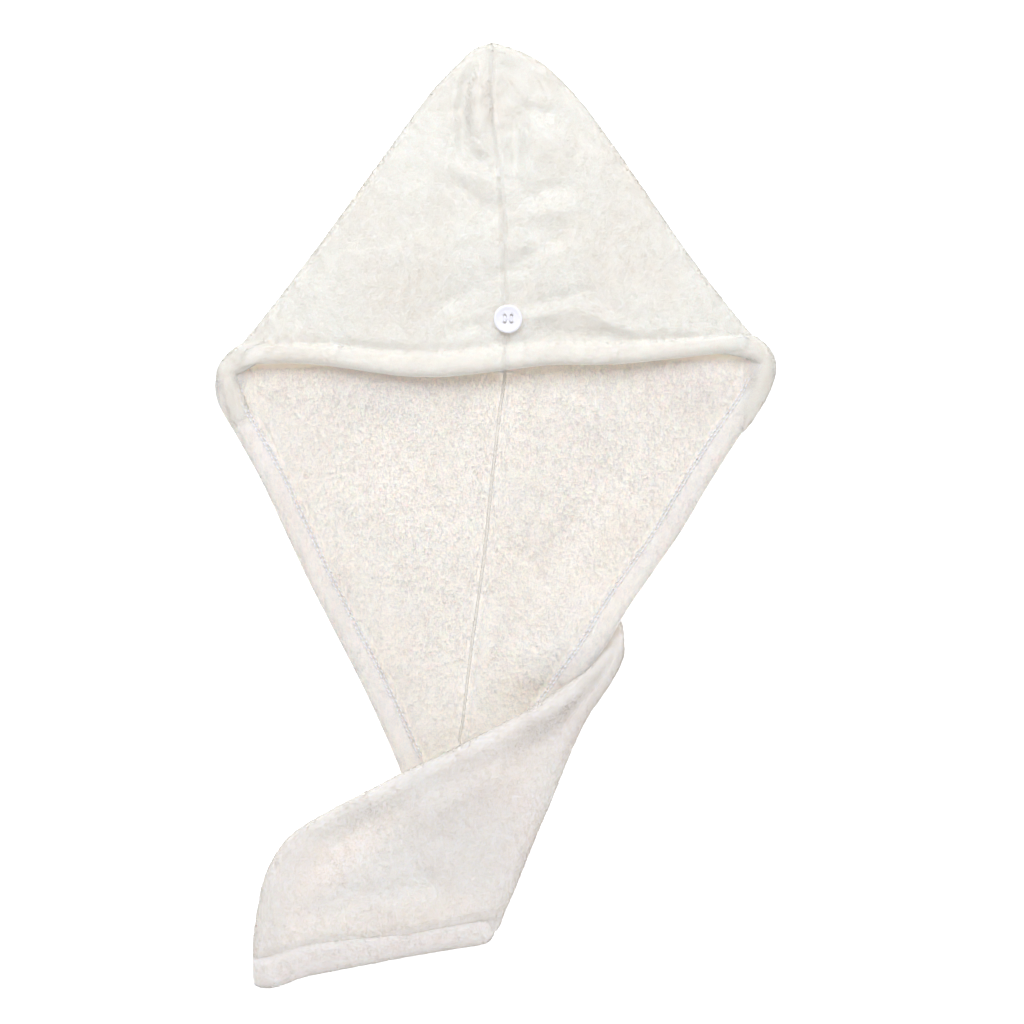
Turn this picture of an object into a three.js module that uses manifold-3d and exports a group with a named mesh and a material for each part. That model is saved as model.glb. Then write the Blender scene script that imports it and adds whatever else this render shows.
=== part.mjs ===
// Hair towel of plush fleece, lying flat with its hood mouth open and its tail folded over.
// Millimetres, +Z up. The floor is z = 0, +Y points to the hood's peak, +X to the right hand side.
import * as THREE from "three";
import Module from "manifold-3d";

const wasm = await Module();
wasm.setup();

// Driving dimensions
const CLOTH = 3.6; // thickness of the fleece with its pile
const HEM = 8.4; // thickness of the turned hem
const HEM_WIDTH = 18.5;
const HEM_NOSE = 4.2; // rounding of the hem's outer edge
const FOLD = 6.5; // outer radius of a side fold
const HOOD_RISE = 8; // how much higher the hood's middle lies than its side folds
const PEAK = 325.5; // seam station where the crown ends
const RIM = 100.5; // seam station of the front rim
const SEAM_GAP = 0.3;
const LIP_GAP = 1.6; // between the two panels' edges under the tail, where the seam opens round the fold
const SHANK = 1.6; // clear height between the cloth and the button
const THREAD_RADIUS = 0.7;
const THREAD_PAD_RADIUS = 4;
const BUTTON_GAP = 0.3;
const BUTTON = {
  x: 8.8, y: 137, radius: 10, height: 3.2, holeOffset: 2.2, holeRadius: 1.1, dish: 1.1, rim: 2.2, slope: 1.2,
  foot: 1.6, footRise: 1.2, bevel: 0.8,
};

// Shares and distances that shape the cloth
const HEM_FALL = { before: 4, after: 1.5 }; // where the hem's thickness falls off, beside its width
const HEM_EDGE = 0.06; // share of the hem's thickness at its very edge
const HEM_START = 14; // the side hem reaches its full thickness this far below the rim
const SWELL = { above: 4, below: 110, power: 0.9 }; // how the hood rises below its peak and across its width
const PEAK_FADE = 16; // puckers fade out this far below the peak
const GROOVE = { depth: 1.2, width: 6, row: 30 }; // along the front seam, full where the row is this long
const RIM_ROLL = { proud: 1.4, crease: 1.2, width: 3, corner: 0.86, lost: 0.75, side: 0.9, reach: 70 };
const CORNER = { roll: 5, near: 9, far: 25, above: 2, below: 30 }; // side hem's rise where it meets the rim
const LIFT_FADE = { near: 24, far: 62 }; // how far in from its edge the lifted right hem comes down again
const FLAP = {
  end: 11.5, foldShare: 0.26, clothShare: 0.72, lipShare: 0.22, rightLipShare: 0.4, swell: 2.2, narrow: 10,
  wide: 60, fall: 0.8,
};
const END_HEM = { height: 8.4, endRadius: 7, sides: 14, step: 30, tip: 0.06, tipWidth: 0.55, squareness: 0.6 };

// Fineness of the surfaces
const WELD = 0.15; // slivers along the joins that are finer than this are evened out
const ROUNDING = 0.05; // corners of a joined solid are rounded to steps of this
const PRIMITIVE_ROUNDING = 0.0001;
const VERTEX_STEPS = 2000; // steps in a millimetre to which a sheet's points are matched
const SHORTEST_ROW = 0.5; // a row across a panel that is shorter than this is one point
const TANGENT_STEP = 0.5;
const LINE_STEP = 0.01;
const STEEPEST_SLANT = 0.6;
const FULL_LENGTH = { front: 130, back: 90, open: 45 }; // rows at least this long keep their short columns
const SEAM_SEARCH = { step: 0.25, top: -194, reach: 14 };
const FAR_FROM_END = 100;
const HOLE_SIDES = 12;
const BUTTON_SIDES = 24;
const PAD_SIDES = 16;
const THREAD_SIDES = 8;

// Centre seam: x at each y, from the peak to the tail
const seam = [
  { y: 340, x: -2 }, { y: 290, x: -1.8 }, { y: 255, x: 1.8 }, { y: 220, x: 4.6 }, { y: 150, x: 6.7 },
  { y: 100, x: 6.7 }, { y: 74, x: 3.2 }, { y: 25, x: -2.5 }, { y: -24, x: -7.4 }, { y: -60, x: -12.3 },
  { y: -101, x: -17.9 }, { y: -143, x: -22.8 }, { y: -162, x: -25 }, { y: -178, x: -16 },
  { y: -188, x: -2 }, { y: -197, x: 10 }, { y: -211, x: 18 }, { y: -231, x: 15 }, { y: -248, x: 7 },
  { y: -266, x: -2.5 },
];

// Outline of the left panel: the outer edge that belongs to each seam station
const leftRows = [
  { station: 325.5, x: -2, y: 332 }, { station: 317, x: -15, y: 327.5 }, { station: 303, x: -27, y: 316.5 },
  { station: 285, x: -44.5, y: 298 }, { station: 243, x: -83.5, y: 245.5 }, { station: 195, x: -118, y: 198 },
  { station: 150, x: -153.5, y: 151 }, { station: 125.5, x: -177, y: 122 }, { station: 113, x: -190, y: 109.5 },
  { station: 100.5, x: -196.5, y: 95 }, { station: 84, x: -195, y: 79 }, { station: 57, x: -182.5, y: 56.5 },
  { station: 24, x: -165, y: 25 }, { station: -10, x: -148.5, y: -10 }, { station: -45, x: -132, y: -45 },
  { station: -82, x: -113, y: -82 }, { station: -112, x: -97.5, y: -112 }, { station: -140, x: -84, y: -140 },
  { station: -162, x: -73, y: -165 }, { station: -178, x: -66.5, y: -182 }, { station: -188, x: -65, y: -197 },
  { station: -197, x: -69, y: -212 }, { station: -211, x: -82, y: -228.5 },
  { station: -231, x: -105, y: -249.5 }, { station: -248, x: -130, y: -266 },
  { station: -266, x: -142.5, y: -282 },
];

// Outline of the right panel; lift is how high its hem is raised where the tail comes out under it
const rightRows = [
  { station: 325.5, x: -2, y: 332, lift: 0 }, { station: 317, x: 13.5, y: 327.5, lift: 0 },
  { station: 303, x: 32, y: 318, lift: 0 }, { station: 285, x: 53.5, y: 298, lift: 0 },
  { station: 262, x: 72, y: 275, lift: 0 }, { station: 225, x: 103.5, y: 230, lift: 0 },
  { station: 180, x: 137, y: 181.5, lift: 0 }, { station: 142, x: 165, y: 145, lift: 0 },
  { station: 125.5, x: 180.5, y: 126.5, lift: 0 }, { station: 113, x: 191.5, y: 116, lift: 0 },
  { station: 100.5, x: 197.1, y: 103, lift: 0 }, { station: 86, x: 193, y: 88, lift: 0 },
  { station: 71, x: 183, y: 72.5, lift: 0 }, { station: 50, x: 168, y: 50, lift: 0 },
  { station: 20, x: 149, y: 20, lift: 0 }, { station: -12, x: 130, y: -12, lift: 0 },
  { station: -45, x: 107.5, y: -44.5, lift: 2 }, { station: -72, x: 91.5, y: -67.5, lift: 8 },
  { station: -90, x: 79.5, y: -88, lift: 11 }, { station: -108, x: 65.5, y: -108, lift: 8 },
  { station: -124, x: 54.5, y: -124, lift: 1.5 }, { station: -140, x: 44, y: -140, lift: 0 },
  { station: -154, x: 35, y: -153, lift: 0 }, { station: -168, x: 27, y: -165, lift: 0 },
];

// The rim's lower edge: how far it lies above the straight line between the corners
const rimWave = [
  { x: -200, rise: 0 }, { x: -190, rise: 1 }, { x: -175, rise: 7 }, { x: -150, rise: 10 },
  { x: -125, rise: 8.5 }, { x: -100, rise: 4.5 }, { x: -67, rise: -1 }, { x: -39, rise: -2.7 }, { x: -15, rise: -1.2 },
  { x: 6.5, rise: 0.8 }, { x: 38, rise: 4 }, { x: 87, rise: 4.2 }, { x: 129, rise: 8 }, { x: 162, rise: 11 },
  { x: 180, rise: 8.5 }, { x: 190, rise: 1.5 }, { x: 200, rise: 0 },
];

// Main dents and puckers of the hood's front, each along a short line
const puckers = [
  { x1: -10.5, y1: 312, x2: -10.5, y2: 262, height: 2.4, width: 8 },
  { x1: -17, y1: 310, x2: -22, y2: 270, height: -1.8, width: 6 },
  { x1: -22, y1: 268, x2: -2, y2: 243, height: -1.6, width: 6 },
  { x1: 6, y1: 310, x2: 9, y2: 262, height: -1.6, width: 8 },
  { x1: 28, y1: 262, x2: 62, y2: 244, height: 2.8, width: 13 },
  { x1: 30, y1: 302, x2: 80, y2: 248, height: -1.4, width: 9 },
  { x1: 9, y1: 222, x2: 50, y2: 230, height: -1.8, width: 6 },
  { x1: 9, y1: 169, x2: 47, y2: 198, height: -1.8, width: 7 },
  { x1: 16, y1: 143, x2: 64, y2: 157, height: -1.2, width: 6 },
  { x1: 56, y1: 145, x2: 96, y2: 129, height: 1.4, width: 7 },
  { x1: -26, y1: 244, x2: -2, y2: 224, height: 1.8, width: 6 },
  { x1: -35, y1: 236, x2: -2, y2: 210, height: -1.6, width: 7 },
  { x1: -1, y1: 165, x2: -50, y2: 140, height: -1.2, width: 8 },
];

// The tail's flap, outer side up: its two side folds; low is the height of the left fold's underside
const flapRows = [
  { lx: 78, ly: -79, rx: 88, ry: -72, low: 0, lip: 3 }, { lx: 72, ly: -94, rx: 90.5, ry: -84, low: 0, lip: 4 },
  { lx: 59, ly: -109.5, rx: 89.5, ry: -101, low: 2, lip: 6 },
  { lx: 41, ly: -123.5, rx: 78.5, ry: -122, low: 6, lip: 10 },
  { lx: 18, ly: -138, rx: 66.5, ry: -139, low: 9.6, lip: 14 },
  { lx: -8, ly: -151.5, rx: 57, ry: -157.5, low: 9.6, lip: 16 },
  { lx: -36, ly: -166, rx: 48.5, ry: -177.5, low: 9.6, lip: 16 },
  { lx: -64, ly: -179, rx: 40.5, ry: -198, low: 9.6, lip: 16 },
  { lx: -94, ly: -194.5, rx: 31, ry: -220, low: 9, lip: 12 },
  { lx: -122, ly: -209.5, rx: 22, ry: -242, low: 3, lip: 12 },
  { lx: -145.5, ly: -225.5, rx: 15, ry: -259.5, low: 0, lip: 10 },
  { lx: -161, ly: -250, rx: 9.5, ry: -272.5, low: 0, lip: 10 },
  { lx: -167, ly: -274.5, rx: 5.5, ry: -282.5, low: 0, lip: 10 },
  { lx: -170, ly: -298, rx: 3.6, ry: -287, low: 0, lip: 10 },
  { lx: -169, ly: -311, rx: 0, ry: -290, low: 0, lip: 8 },
];

// Centre line of the tail's end hem, with half its width
const endHemLine = [
  { x: -170, y: -320.8, half: 12.4 }, { x: -137, y: -311.3, half: 13 }, { x: -109, y: -306.4, half: 12.4 },
  { x: -67, y: -300.4, half: 9.6 }, { x: -39, y: -296.2, half: 8.8 }, { x: -2, y: -289.6, half: 8.2 },
];

const clamp = (value, low, high) => Math.min(high, Math.max(low, value));
const mix = (from, to, share) => from + (to - from) * share;
const ramp = (from, to, value) => {
  const share = clamp((value - from) / (to - from), 0, 1);
  return share * share * (3 - 2 * share);
};

// Smooth curve through a table's rows: the value of one column where the key column has the given value
function lookUp(rows, keyName, name, key) {
  const rising = rows[rows.length - 1][keyName] > rows[0][keyName] ? 1 : -1;
  let index = 0;
  while (index < rows.length - 2 && (key - rows[index + 1][keyName]) * rising > 0) index += 1;
  const slopeAt = (row) => {
    const before = rows[Math.max(0, row - 1)];
    const after = rows[Math.min(rows.length - 1, row + 1)];
    return (after[name] - before[name]) / (after[keyName] - before[keyName]);
  };
  const [from, to] = [rows[index], rows[index + 1]];
  const span = to[keyName] - from[keyName];
  const t = clamp((key - from[keyName]) / span, 0, 1);
  const [t2, t3] = [t * t, t * t * t];
  return (2 * t3 - 3 * t2 + 1) * from[name] + (t3 - 2 * t2 + t) * span * slopeAt(index)
    + (3 * t2 - 2 * t3) * to[name] + (t3 - t2) * span * slopeAt(index + 1);
}

const seamX = (y) => lookUp(seam, "y", "x", y);

// Section of a hem at a distance from the cloth's edge: its thickness and how far its round nose is open
const hemBand = (inset) => 1 - ramp(HEM_WIDTH - HEM_FALL.before, HEM_WIDTH + HEM_FALL.after, inset);
const hemNose = (inset) => mix(HEM_EDGE, 1, Math.sqrt(1 - (1 - clamp(inset / HEM_NOSE, 0, 1)) ** 2));

// Height that the puckers add to the hood's front
function puckerHeight(x, y) {
  let total = 0;
  for (const fold of puckers) {
    const [dx, dy] = [fold.x2 - fold.x1, fold.y2 - fold.y1];
    const along = clamp(((x - fold.x1) * dx + (y - fold.y1) * dy) / (dx * dx + dy * dy), 0, 1);
    const distance = Math.hypot(x - fold.x1 - dx * along, y - fold.y1 - dy * along);
    total += fold.height * Math.exp(-((distance / fold.width) ** 2));
  }
  return total;
}

// Outer surface of the hood's front; share runs from 0 at the seam to 1 at the side fold
function frontHeight(x, y, station, share) {
  const rise = HOOD_RISE * ramp(PEAK + SWELL.above, PEAK - SWELL.below, station);
  const plain = 2 * FOLD + rise * (1 - share * share) ** SWELL.power;
  const edgeFade = 1 - share ** 4;
  const peakFade = ramp(PEAK, PEAK - PEAK_FADE, station);
  const puckered = plain + puckerHeight(x, y) * edgeFade * peakFade;
  const toButton = Math.hypot(x - BUTTON.x, y - BUTTON.y);
  const seat = 1 - ramp(BUTTON.radius, BUTTON.radius * 2, toButton);
  return mix(puckered, buttonSeat, seat);
}
const buttonSeat = 2 * FOLD + HOOD_RISE;

// One cross row of a panel: its seam end, its outer edge and the edge's outward direction
function panelRow(rows, side, station) {
  const edgeX = lookUp(rows, "station", "x", station);
  const edgeY = lookUp(rows, "station", "y", station);
  const tangent = (name) => lookUp(rows, "station", name, station - TANGENT_STEP)
    - lookUp(rows, "station", name, station + TANGENT_STEP);
  const out = station >= PEAK
    ? new THREE.Vector2(0, 1)
    : new THREE.Vector2(tangent("y"), -tangent("x")).normalize();
  const peakShift = station >= PEAK ? side * SEAM_GAP / 2 : 0;
  const edge = new THREE.Vector2(edgeX + peakShift, edgeY);
  if (out.x * side < 0) out.negate();
  const start = new THREE.Vector2(seamX(station) + side * SEAM_GAP / 2, station);
  const foldLine = edge.clone().addScaledVector(out, -FOLD);
  return { station, edge, out, start, foldLine };
}

const nearSeam = [0, 3, 9, 18, 29, 42];
const FRONT_COLUMNS = 12;
const arcAngles = [90, 45, 0, -45, -90];
const noseInsets = [0, 1.9, FOLD];
const hemInsets = [9.5, 13.5, 17, 20];
const BACK_COLUMNS = 6;

// Places of the columns along a row of the given length, starting at the end that has the short steps
function columnPlaces(length, near, count, fullLength) {
  const scale = Math.min(1, length / fullLength);
  const last = near[near.length - 1] * scale;
  const places = near.map((value) => value * scale);
  const rest = count - near.length;
  for (let index = 1; index <= rest; index += 1) places.push(mix(last, length, index / rest));
  return places;
}

// Points of one panel row from the front seam round the side fold to the back seam
function hoodPoints(row) {
  const points = [];
  const rimInset = row.station - RIM;
  const reach = row.foldLine.distanceTo(row.start);
  const length = reach < SHORTEST_ROW ? 0 : reach;
  const band = hemBand(rimInset);
  const nose = hemNose(rimInset);
  const wave = ramp(RIM + RIM_ROLL.reach, RIM, row.station);
  for (const place of columnPlaces(length, nearSeam, FRONT_COLUMNS, FULL_LENGTH.front)) {
    const share = length > 0 ? place / length : 1;
    const at = row.start.clone().lerp(row.foldLine, share);
    const y = at.y + wave * (1 - ramp(RIM_ROLL.side, 1, share)) * lookUp(rimWave, "x", "rise", at.x);
    const groove = GROOVE.depth * (1 - ramp(0, GROOVE.width, place)) * ramp(0, GROOVE.row, length);
    const corner = 1 - RIM_ROLL.lost * ramp(RIM_ROLL.corner, 1, share);
    const crease = RIM_ROLL.crease * Math.exp(-(((rimInset - HEM_WIDTH - 1) / RIM_ROLL.width) ** 2));
    const proud = (RIM_ROLL.proud * band - crease) * corner;
    const top = frontHeight(at.x, y, row.station, share) - groove + proud;
    const thickness = CLOTH + (HEM - CLOTH) * band * corner;
    const middle = top - thickness / 2;
    const half = (thickness / 2) * nose;
    points.push({ outer: [at.x, y, middle + half], inner: [at.x, y, middle - half] });
  }
  const half = (CLOTH / 2) * nose;
  for (const angle of arcAngles.slice(1)) {
    const turn = THREE.MathUtils.degToRad(angle);
    const at = (radius) => {
      const flat = row.foldLine.clone().addScaledVector(row.out, radius * Math.cos(turn));
      return [flat.x, flat.y, FOLD + radius * Math.sin(turn)];
    };
    const backNose = angle < 0 ? CLOTH / 2 : half;
    points.push({ outer: at(FOLD - CLOTH / 2 + backNose), inner: at(FOLD - CLOTH / 2 - backNose) });
  }
  const insets = hemInsets.map((inset) => inset - FOLD);
  for (const place of columnPlaces(length, insets, insets.length + BACK_COLUMNS, FULL_LENGTH.back)) {
    const share = length > 0 ? place / length : 1;
    const at = row.foldLine.clone().lerp(row.start, share);
    points.push({ outer: [at.x, at.y, 0], inner: [at.x, at.y, CLOTH] });
  }
  return points;
}

// Points of one open row of the back: from the side hem's nose to the seam
function openPoints(row, lift, endInset) {
  const noseColumn = FRONT_COLUMNS + arcAngles.indexOf(0) - 1;
  const points = new Array(noseColumn).fill(null);
  const length = row.edge.distanceTo(row.start);
  const across = row.start.clone().sub(row.edge).normalize();
  const slant = Math.max(STEEPEST_SLANT, -across.dot(row.out));
  const near = [...noseInsets, ...hemInsets].map((inset) => inset / slant);
  const below = ramp(0, HEM_START, RIM - row.station);
  const beside = 1 - ramp(CORNER.above, CORNER.below, RIM - row.station);
  for (const place of columnPlaces(length, near, near.length + BACK_COLUMNS, FULL_LENGTH.open)) {
    const at = row.edge.clone().addScaledVector(across, place);
    const inset = place * slant;
    const band = Math.max(hemBand(inset) * below, hemBand(endInset));
    const thickness = mix(CLOTH, HEM, band);
    const nose = Math.min(hemNose(inset), hemNose(endInset));
    const raise = lift * (1 - ramp(LIFT_FADE.near, LIFT_FADE.far, inset));
    const half = (thickness / 2) * nose;
    const middle = raise + thickness / 2;
    const roll = CORNER.roll * beside * (1 - ramp(CORNER.near, CORNER.far, inset)) * ramp(0, FOLD, inset);
    points.push({ outer: [at.x, at.y, middle - half], inner: [at.x, at.y, middle + half + roll] });
  }
  return points;
}

// Closed surface round a sheet given by the outer and inner points of a grid; null points are left out
function shell(grid) {
  const positions = [];
  const triangles = [];
  const known = new Map();
  const vertex = (point) => {
    const key = point.map((value) => Math.round(value * VERTEX_STEPS)).join(",");
    if (!known.has(key)) {
      known.set(key, positions.length / 3);
      positions.push(...point);
    }
    return known.get(key);
  };
  const face = (a, b, c) => {
    if (a !== b && b !== c && c !== a) triangles.push(a, b, c);
  };
  const quad = (a, b, c, d) => {
    face(vertex(a), vertex(b), vertex(c));
    face(vertex(a), vertex(c), vertex(d));
  };
  const filled = (j, i) => j >= 0 && i >= 0 && j < grid.length - 1 && i < grid[0].length - 1
    && grid[j][i] && grid[j][i + 1] && grid[j + 1][i] && grid[j + 1][i + 1];
  for (let j = 0; j < grid.length - 1; j += 1) {
    for (let i = 0; i < grid[0].length - 1; i += 1) {
      if (!filled(j, i)) continue;
      const [a, b, c, d] = [grid[j][i], grid[j][i + 1], grid[j + 1][i + 1], grid[j + 1][i]];
      quad(a.outer, b.outer, c.outer, d.outer);
      quad(d.inner, c.inner, b.inner, a.inner);
      if (!filled(j - 1, i)) quad(a.inner, b.inner, b.outer, a.outer);
      if (!filled(j + 1, i)) quad(c.inner, d.inner, d.outer, c.outer);
      if (!filled(j, i - 1)) quad(d.inner, a.inner, a.outer, d.outer);
      if (!filled(j, i + 1)) quad(b.inner, c.inner, c.outer, b.outer);
    }
  }
  return solidFrom(positions, triangles);
}

// A manifold solid with its faces turned outwards
function solidFrom(positions, triangles) {
  const build = (order) => new wasm.Manifold(new wasm.Mesh({
    numProp: 3,
    vertProperties: new Float32Array(positions),
    triVerts: new Uint32Array(order),
  }));
  const turned = [];
  for (let index = 0; index < triangles.length; index += 3) {
    turned.push(triangles[index], triangles[index + 2], triangles[index + 1]);
  }
  const solid = build(triangles);
  return solid.volume() > 0 ? solid : build(turned);
}

// Solid of closed rings of equal length joined one after the other, with flat ends
function loft(rings) {
  const positions = rings.flat(2);
  const count = rings[0].length;
  const triangles = [];
  for (let j = 0; j < rings.length - 1; j += 1) {
    for (let i = 0; i < count; i += 1) {
      const [a, b] = [j * count + i, j * count + ((i + 1) % count)];
      triangles.push(a, b, b + count, a, b + count, a + count);
    }
  }
  const last = (rings.length - 1) * count;
  for (let i = 1; i < count - 1; i += 1) {
    triangles.push(0, i + 1, i, last, last + i, last + i + 1);
  }
  return solidFrom(positions, triangles);
}

const hoodStations = [
  PEAK, 322, 317.5, 311, 303, 293, 280, 266, 252, 238, 224, 208, 192, 176, 162, 149, 137, 128,
  RIM + 20, RIM + 16.5, RIM + 13, RIM + 8, RIM + 4, RIM + 1.4, RIM,
];
const openStations = [97, 92, 85, 76, 62, 44, 24, 4, -16, -36, -56, -74, -90, -108, -126, -142, -154];

function panelGrid(rows, side, moreRows) {
  const grid = hoodStations.map((station) => hoodPoints(panelRow(rows, side, station)));
  for (const { station, endInset } of moreRows) {
    const lift = rows[0].lift === undefined ? 0 : Math.max(0, lookUp(rows, "station", "lift", station));
    grid.push(openPoints(panelRow(rows, side, station), lift, endInset));
  }
  return grid;
}

const plainRow = (station) => ({ station, endInset: FAR_FROM_END });

function leftPanel() {
  const tailEnd = -266;
  const tail = [-162, -172, -182, -191, -201, -213, -228, -241].map(plainRow);
  const end = [18, 14, 9, 4, 1.4, 0].map((inset) => ({ station: tailEnd + inset, endInset: inset }));
  return shell(panelGrid(leftRows, -1, [...openStations.map(plainRow), ...tail, ...end]));
}

// Where the section through a flap row meets the left panel's seam edge under the flap
function seamReach(right, along, width) {
  for (let reach = FOLD + 2; reach < width / 2; reach += SEAM_SEARCH.step) {
    const [x, y] = [right.x - along.x * reach, right.y - along.y * reach];
    if (y < SEAM_SEARCH.top && x < seamX(y) + LIP_GAP) return reach - SEAM_SEARCH.step;
  }
  return SEAM_SEARCH.reach;
}

const lipSteps = [1, 0.5];
const flapTurns = [-90, -126, -162, -198, -234, -270];
const FLAP_TOP_COLUMNS = 12;
const rightTurns = [90, 45, 0, -45, -90];

function flapPoints(position) {
  const value = (name) => lookUp(indexedFlapRows, "row", name, position);
  const left = new THREE.Vector2(value("lx"), value("ly"));
  const right = new THREE.Vector2(value("rx"), value("ry"));
  const along = right.clone().sub(left);
  const width = along.length();
  along.normalize();
  const end = ramp(FLAP.end, flapRows.length - 1, position);
  const radius = mix(Math.min(FOLD, width * FLAP.foldShare), END_HEM.height / 2, end);
  const cloth = Math.min(CLOTH, radius * FLAP.clothShare);
  const low = Math.max(0, value("low"));
  const lip = Math.min(Math.max(1, value("lip")), width * FLAP.lipShare);
  const rightLip = Math.min(seamReach(right, along, width) - radius, width * FLAP.rightLipShare);
  const points = [];
  const put = (reach, outerZ, innerZ, innerReach = reach) => {
    const place = (distance, z) => [left.x + along.x * distance, left.y + along.y * distance, z];
    points.push({ outer: place(reach, outerZ), inner: place(innerReach, innerZ) });
  };
  for (const share of lipSteps) put(radius + lip * share, low, low + cloth);
  for (const angle of flapTurns) {
    const turn = THREE.MathUtils.degToRad(angle);
    const [c, s] = [Math.cos(turn), Math.sin(turn)];
    const inner = radius - cloth;
    put(radius + radius * c, low + radius + radius * s, low + radius + inner * s, radius + inner * c);
  }
  for (let index = 1; index < FLAP_TOP_COLUMNS; index += 1) {
    const share = index / FLAP_TOP_COLUMNS;
    const reach = mix(radius, width - radius, share);
    const swell = FLAP.swell * Math.sin(Math.PI * share) * (1 - end) * ramp(FLAP.narrow, FLAP.wide, width);
    const top = mix(low, 0, share ** FLAP.fall) + 2 * radius + swell;
    put(reach, top, top - cloth);
  }
  for (const angle of rightTurns) {
    const turn = THREE.MathUtils.degToRad(angle);
    const [c, s] = [Math.cos(turn), Math.sin(turn)];
    const inner = radius - cloth;
    put(width - radius + radius * c, radius + radius * s, radius + inner * s, width - radius + inner * c);
  }
  for (const share of [0.5, 1]) put(width - radius - rightLip * share, 0, cloth);
  return points;
}

const indexedFlapRows = flapRows.map((row, index) => ({ row: index, ...row }));

const squared = (value) => Math.sign(value) * Math.abs(value) ** END_HEM.squareness;

function endHem() {
  const rings = [];
  const last = endHemLine.length - 1;
  const line = endHemLine.map((row, index) => ({ row: index, ...row }));
  const caps = [0, 0.08, 0.3, 0.7, 1];
  const stops = [...caps, 1.5, 2, 2.5, 3, 3.5, 4, ...caps.slice(0, 4).map((cap) => last - cap).reverse()];
  const placed = [...new Set(stops)].sort((a, b) => a - b);
  const placeAt = (stop) => new THREE.Vector2(lookUp(line, "row", "x", stop), lookUp(line, "row", "y", stop));
  for (const stop of placed) {
    const at = placeAt(stop);
    const along = placeAt(stop + LINE_STEP).sub(placeAt(stop - LINE_STEP)).normalize();
    const across = new THREE.Vector2(-along.y, along.x);
    const half = lookUp(line, "row", "half", stop);
    const toEnd = Math.min(stop, last - stop) * END_HEM.step;
    const round = Math.sqrt(1 - (1 - clamp(toEnd / END_HEM.endRadius, END_HEM.tip, 1)) ** 2);
    const ring = [];
    for (let index = 0; index < END_HEM.sides; index += 1) {
      const turn = (index / END_HEM.sides) * 2 * Math.PI;
      const [c, s] = [Math.cos(turn), Math.sin(turn)];
      const reach = squared(c) * half * mix(END_HEM.tipWidth, 1, round);
      const up = squared(s) * (END_HEM.height / 2) * round;
      ring.push([at.x + across.x * reach, at.y + across.y * reach, END_HEM.height / 2 + up]);
    }
    rings.push(ring);
  }
  return loft(rings);
}

function rightPanel() {
  const rows = [...openStations, -162].map(plainRow);
  const hood = shell(panelGrid(rightRows, 1, rows));
  const flapGrid = [];
  for (let position = 0; position < flapRows.length; position += 1) flapGrid.push(flapPoints(position));
  return evened(hood.add(shell(flapGrid)).add(endHem()).simplify(WELD));
}

// Flat round button with a raised rim and four holes
function buttonSolid() {
  const { radius, height, holeOffset, holeRadius, dish, rim, slope, foot, footRise, bevel } = BUTTON;
  const profile = [
    [0, 0], [radius - foot, 0], [radius, footRise], [radius, height - bevel], [radius - bevel, height],
    [radius - rim, height], [radius - rim - slope, height - dish], [0, height - dish],
  ].map(([x, y]) => new THREE.Vector2(x, y));
  let solid = fromGeometry(new THREE.LatheGeometry(profile, BUTTON_SIDES).rotateX(Math.PI / 2));
  for (const [sx, sy] of holeCorners) {
    const hole = new THREE.CylinderGeometry(holeRadius, holeRadius, height * 3, HOLE_SIDES);
    hole.rotateX(Math.PI / 2).translate(sx * holeOffset, sy * holeOffset, height / 2);
    solid = solid.subtract(fromGeometry(hole));
  }
  return solid.translate([BUTTON.x, BUTTON.y, buttonSeat + SHANK]);
}
const holeCorners = [[-1, -1], [1, -1], [1, 1], [-1, 1]];

// Sewing thread: a shank pad under the button, four posts through its holes and two bars on top
function threadSolid() {
  const { holeOffset, height, dish } = BUTTON;
  const base = buttonSeat + BUTTON_GAP;
  const padTop = buttonSeat + SHANK - BUTTON_GAP;
  const barTop = buttonSeat + SHANK + height - dish + BUTTON_GAP + 2 * THREAD_RADIUS;
  const pad = new THREE.CylinderGeometry(THREAD_PAD_RADIUS, THREAD_PAD_RADIUS, padTop - base, PAD_SIDES)
    .rotateX(Math.PI / 2);
  pad.translate(0, 0, (base + padTop) / 2);
  let solid = fromGeometry(pad);
  for (const [sx, sy] of holeCorners) {
    const post = new THREE.CylinderGeometry(
      THREAD_RADIUS, THREAD_RADIUS, barTop - padTop + BUTTON_GAP, THREAD_SIDES,
    ).rotateX(Math.PI / 2);
    post.translate(sx * holeOffset, sy * holeOffset, (barTop + padTop - BUTTON_GAP) / 2);
    solid = solid.add(fromGeometry(post));
  }
  for (const side of [-1, 1]) {
    const length = 2 * (holeOffset + THREAD_RADIUS);
    const bar = new THREE.CylinderGeometry(THREAD_RADIUS, THREAD_RADIUS, length, THREAD_SIDES);
    bar.translate(side * holeOffset, 0, barTop - THREAD_RADIUS);
    solid = solid.add(fromGeometry(bar));
  }
  return solid.simplify(WELD).translate([BUTTON.x, BUTTON.y, 0]);
}

// Solid of loose triangle corners; corners in the same small step of space become one
function fromCorners(corners, step) {
  const positions = [];
  const triangles = [];
  const known = new Map();
  for (let corner = 0; corner < corners.length; corner += 3) {
    const ids = corners.slice(corner, corner + 3).map((point) => {
      const place = point.map((value) => Math.round(value / step));
      const key = place.join(",");
      if (!known.has(key)) {
        known.set(key, positions.length / 3);
        positions.push(...place.map((value) => value * step));
      }
      return known.get(key);
    });
    if (new Set(ids).size === 3) triangles.push(...ids);
  }
  return solidFrom(positions, triangles);
}

function fromGeometry(geometry) {
  const source = geometry.toNonIndexed().getAttribute("position");
  const corners = [];
  for (let corner = 0; corner < source.count; corner += 1) {
    corners.push([source.getX(corner), source.getY(corner), source.getZ(corner)]);
  }
  return fromCorners(corners, PRIMITIVE_ROUNDING);
}

// The same solid without the finest slivers that joining leaves
function evened(solid) {
  const mesh = solid.getMesh();
  const corners = Array.from(mesh.triVerts, (id) => Array.from(mesh.vertProperties.slice(3 * id, 3 * id + 3)));
  return fromCorners(corners, ROUNDING);
}

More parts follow.
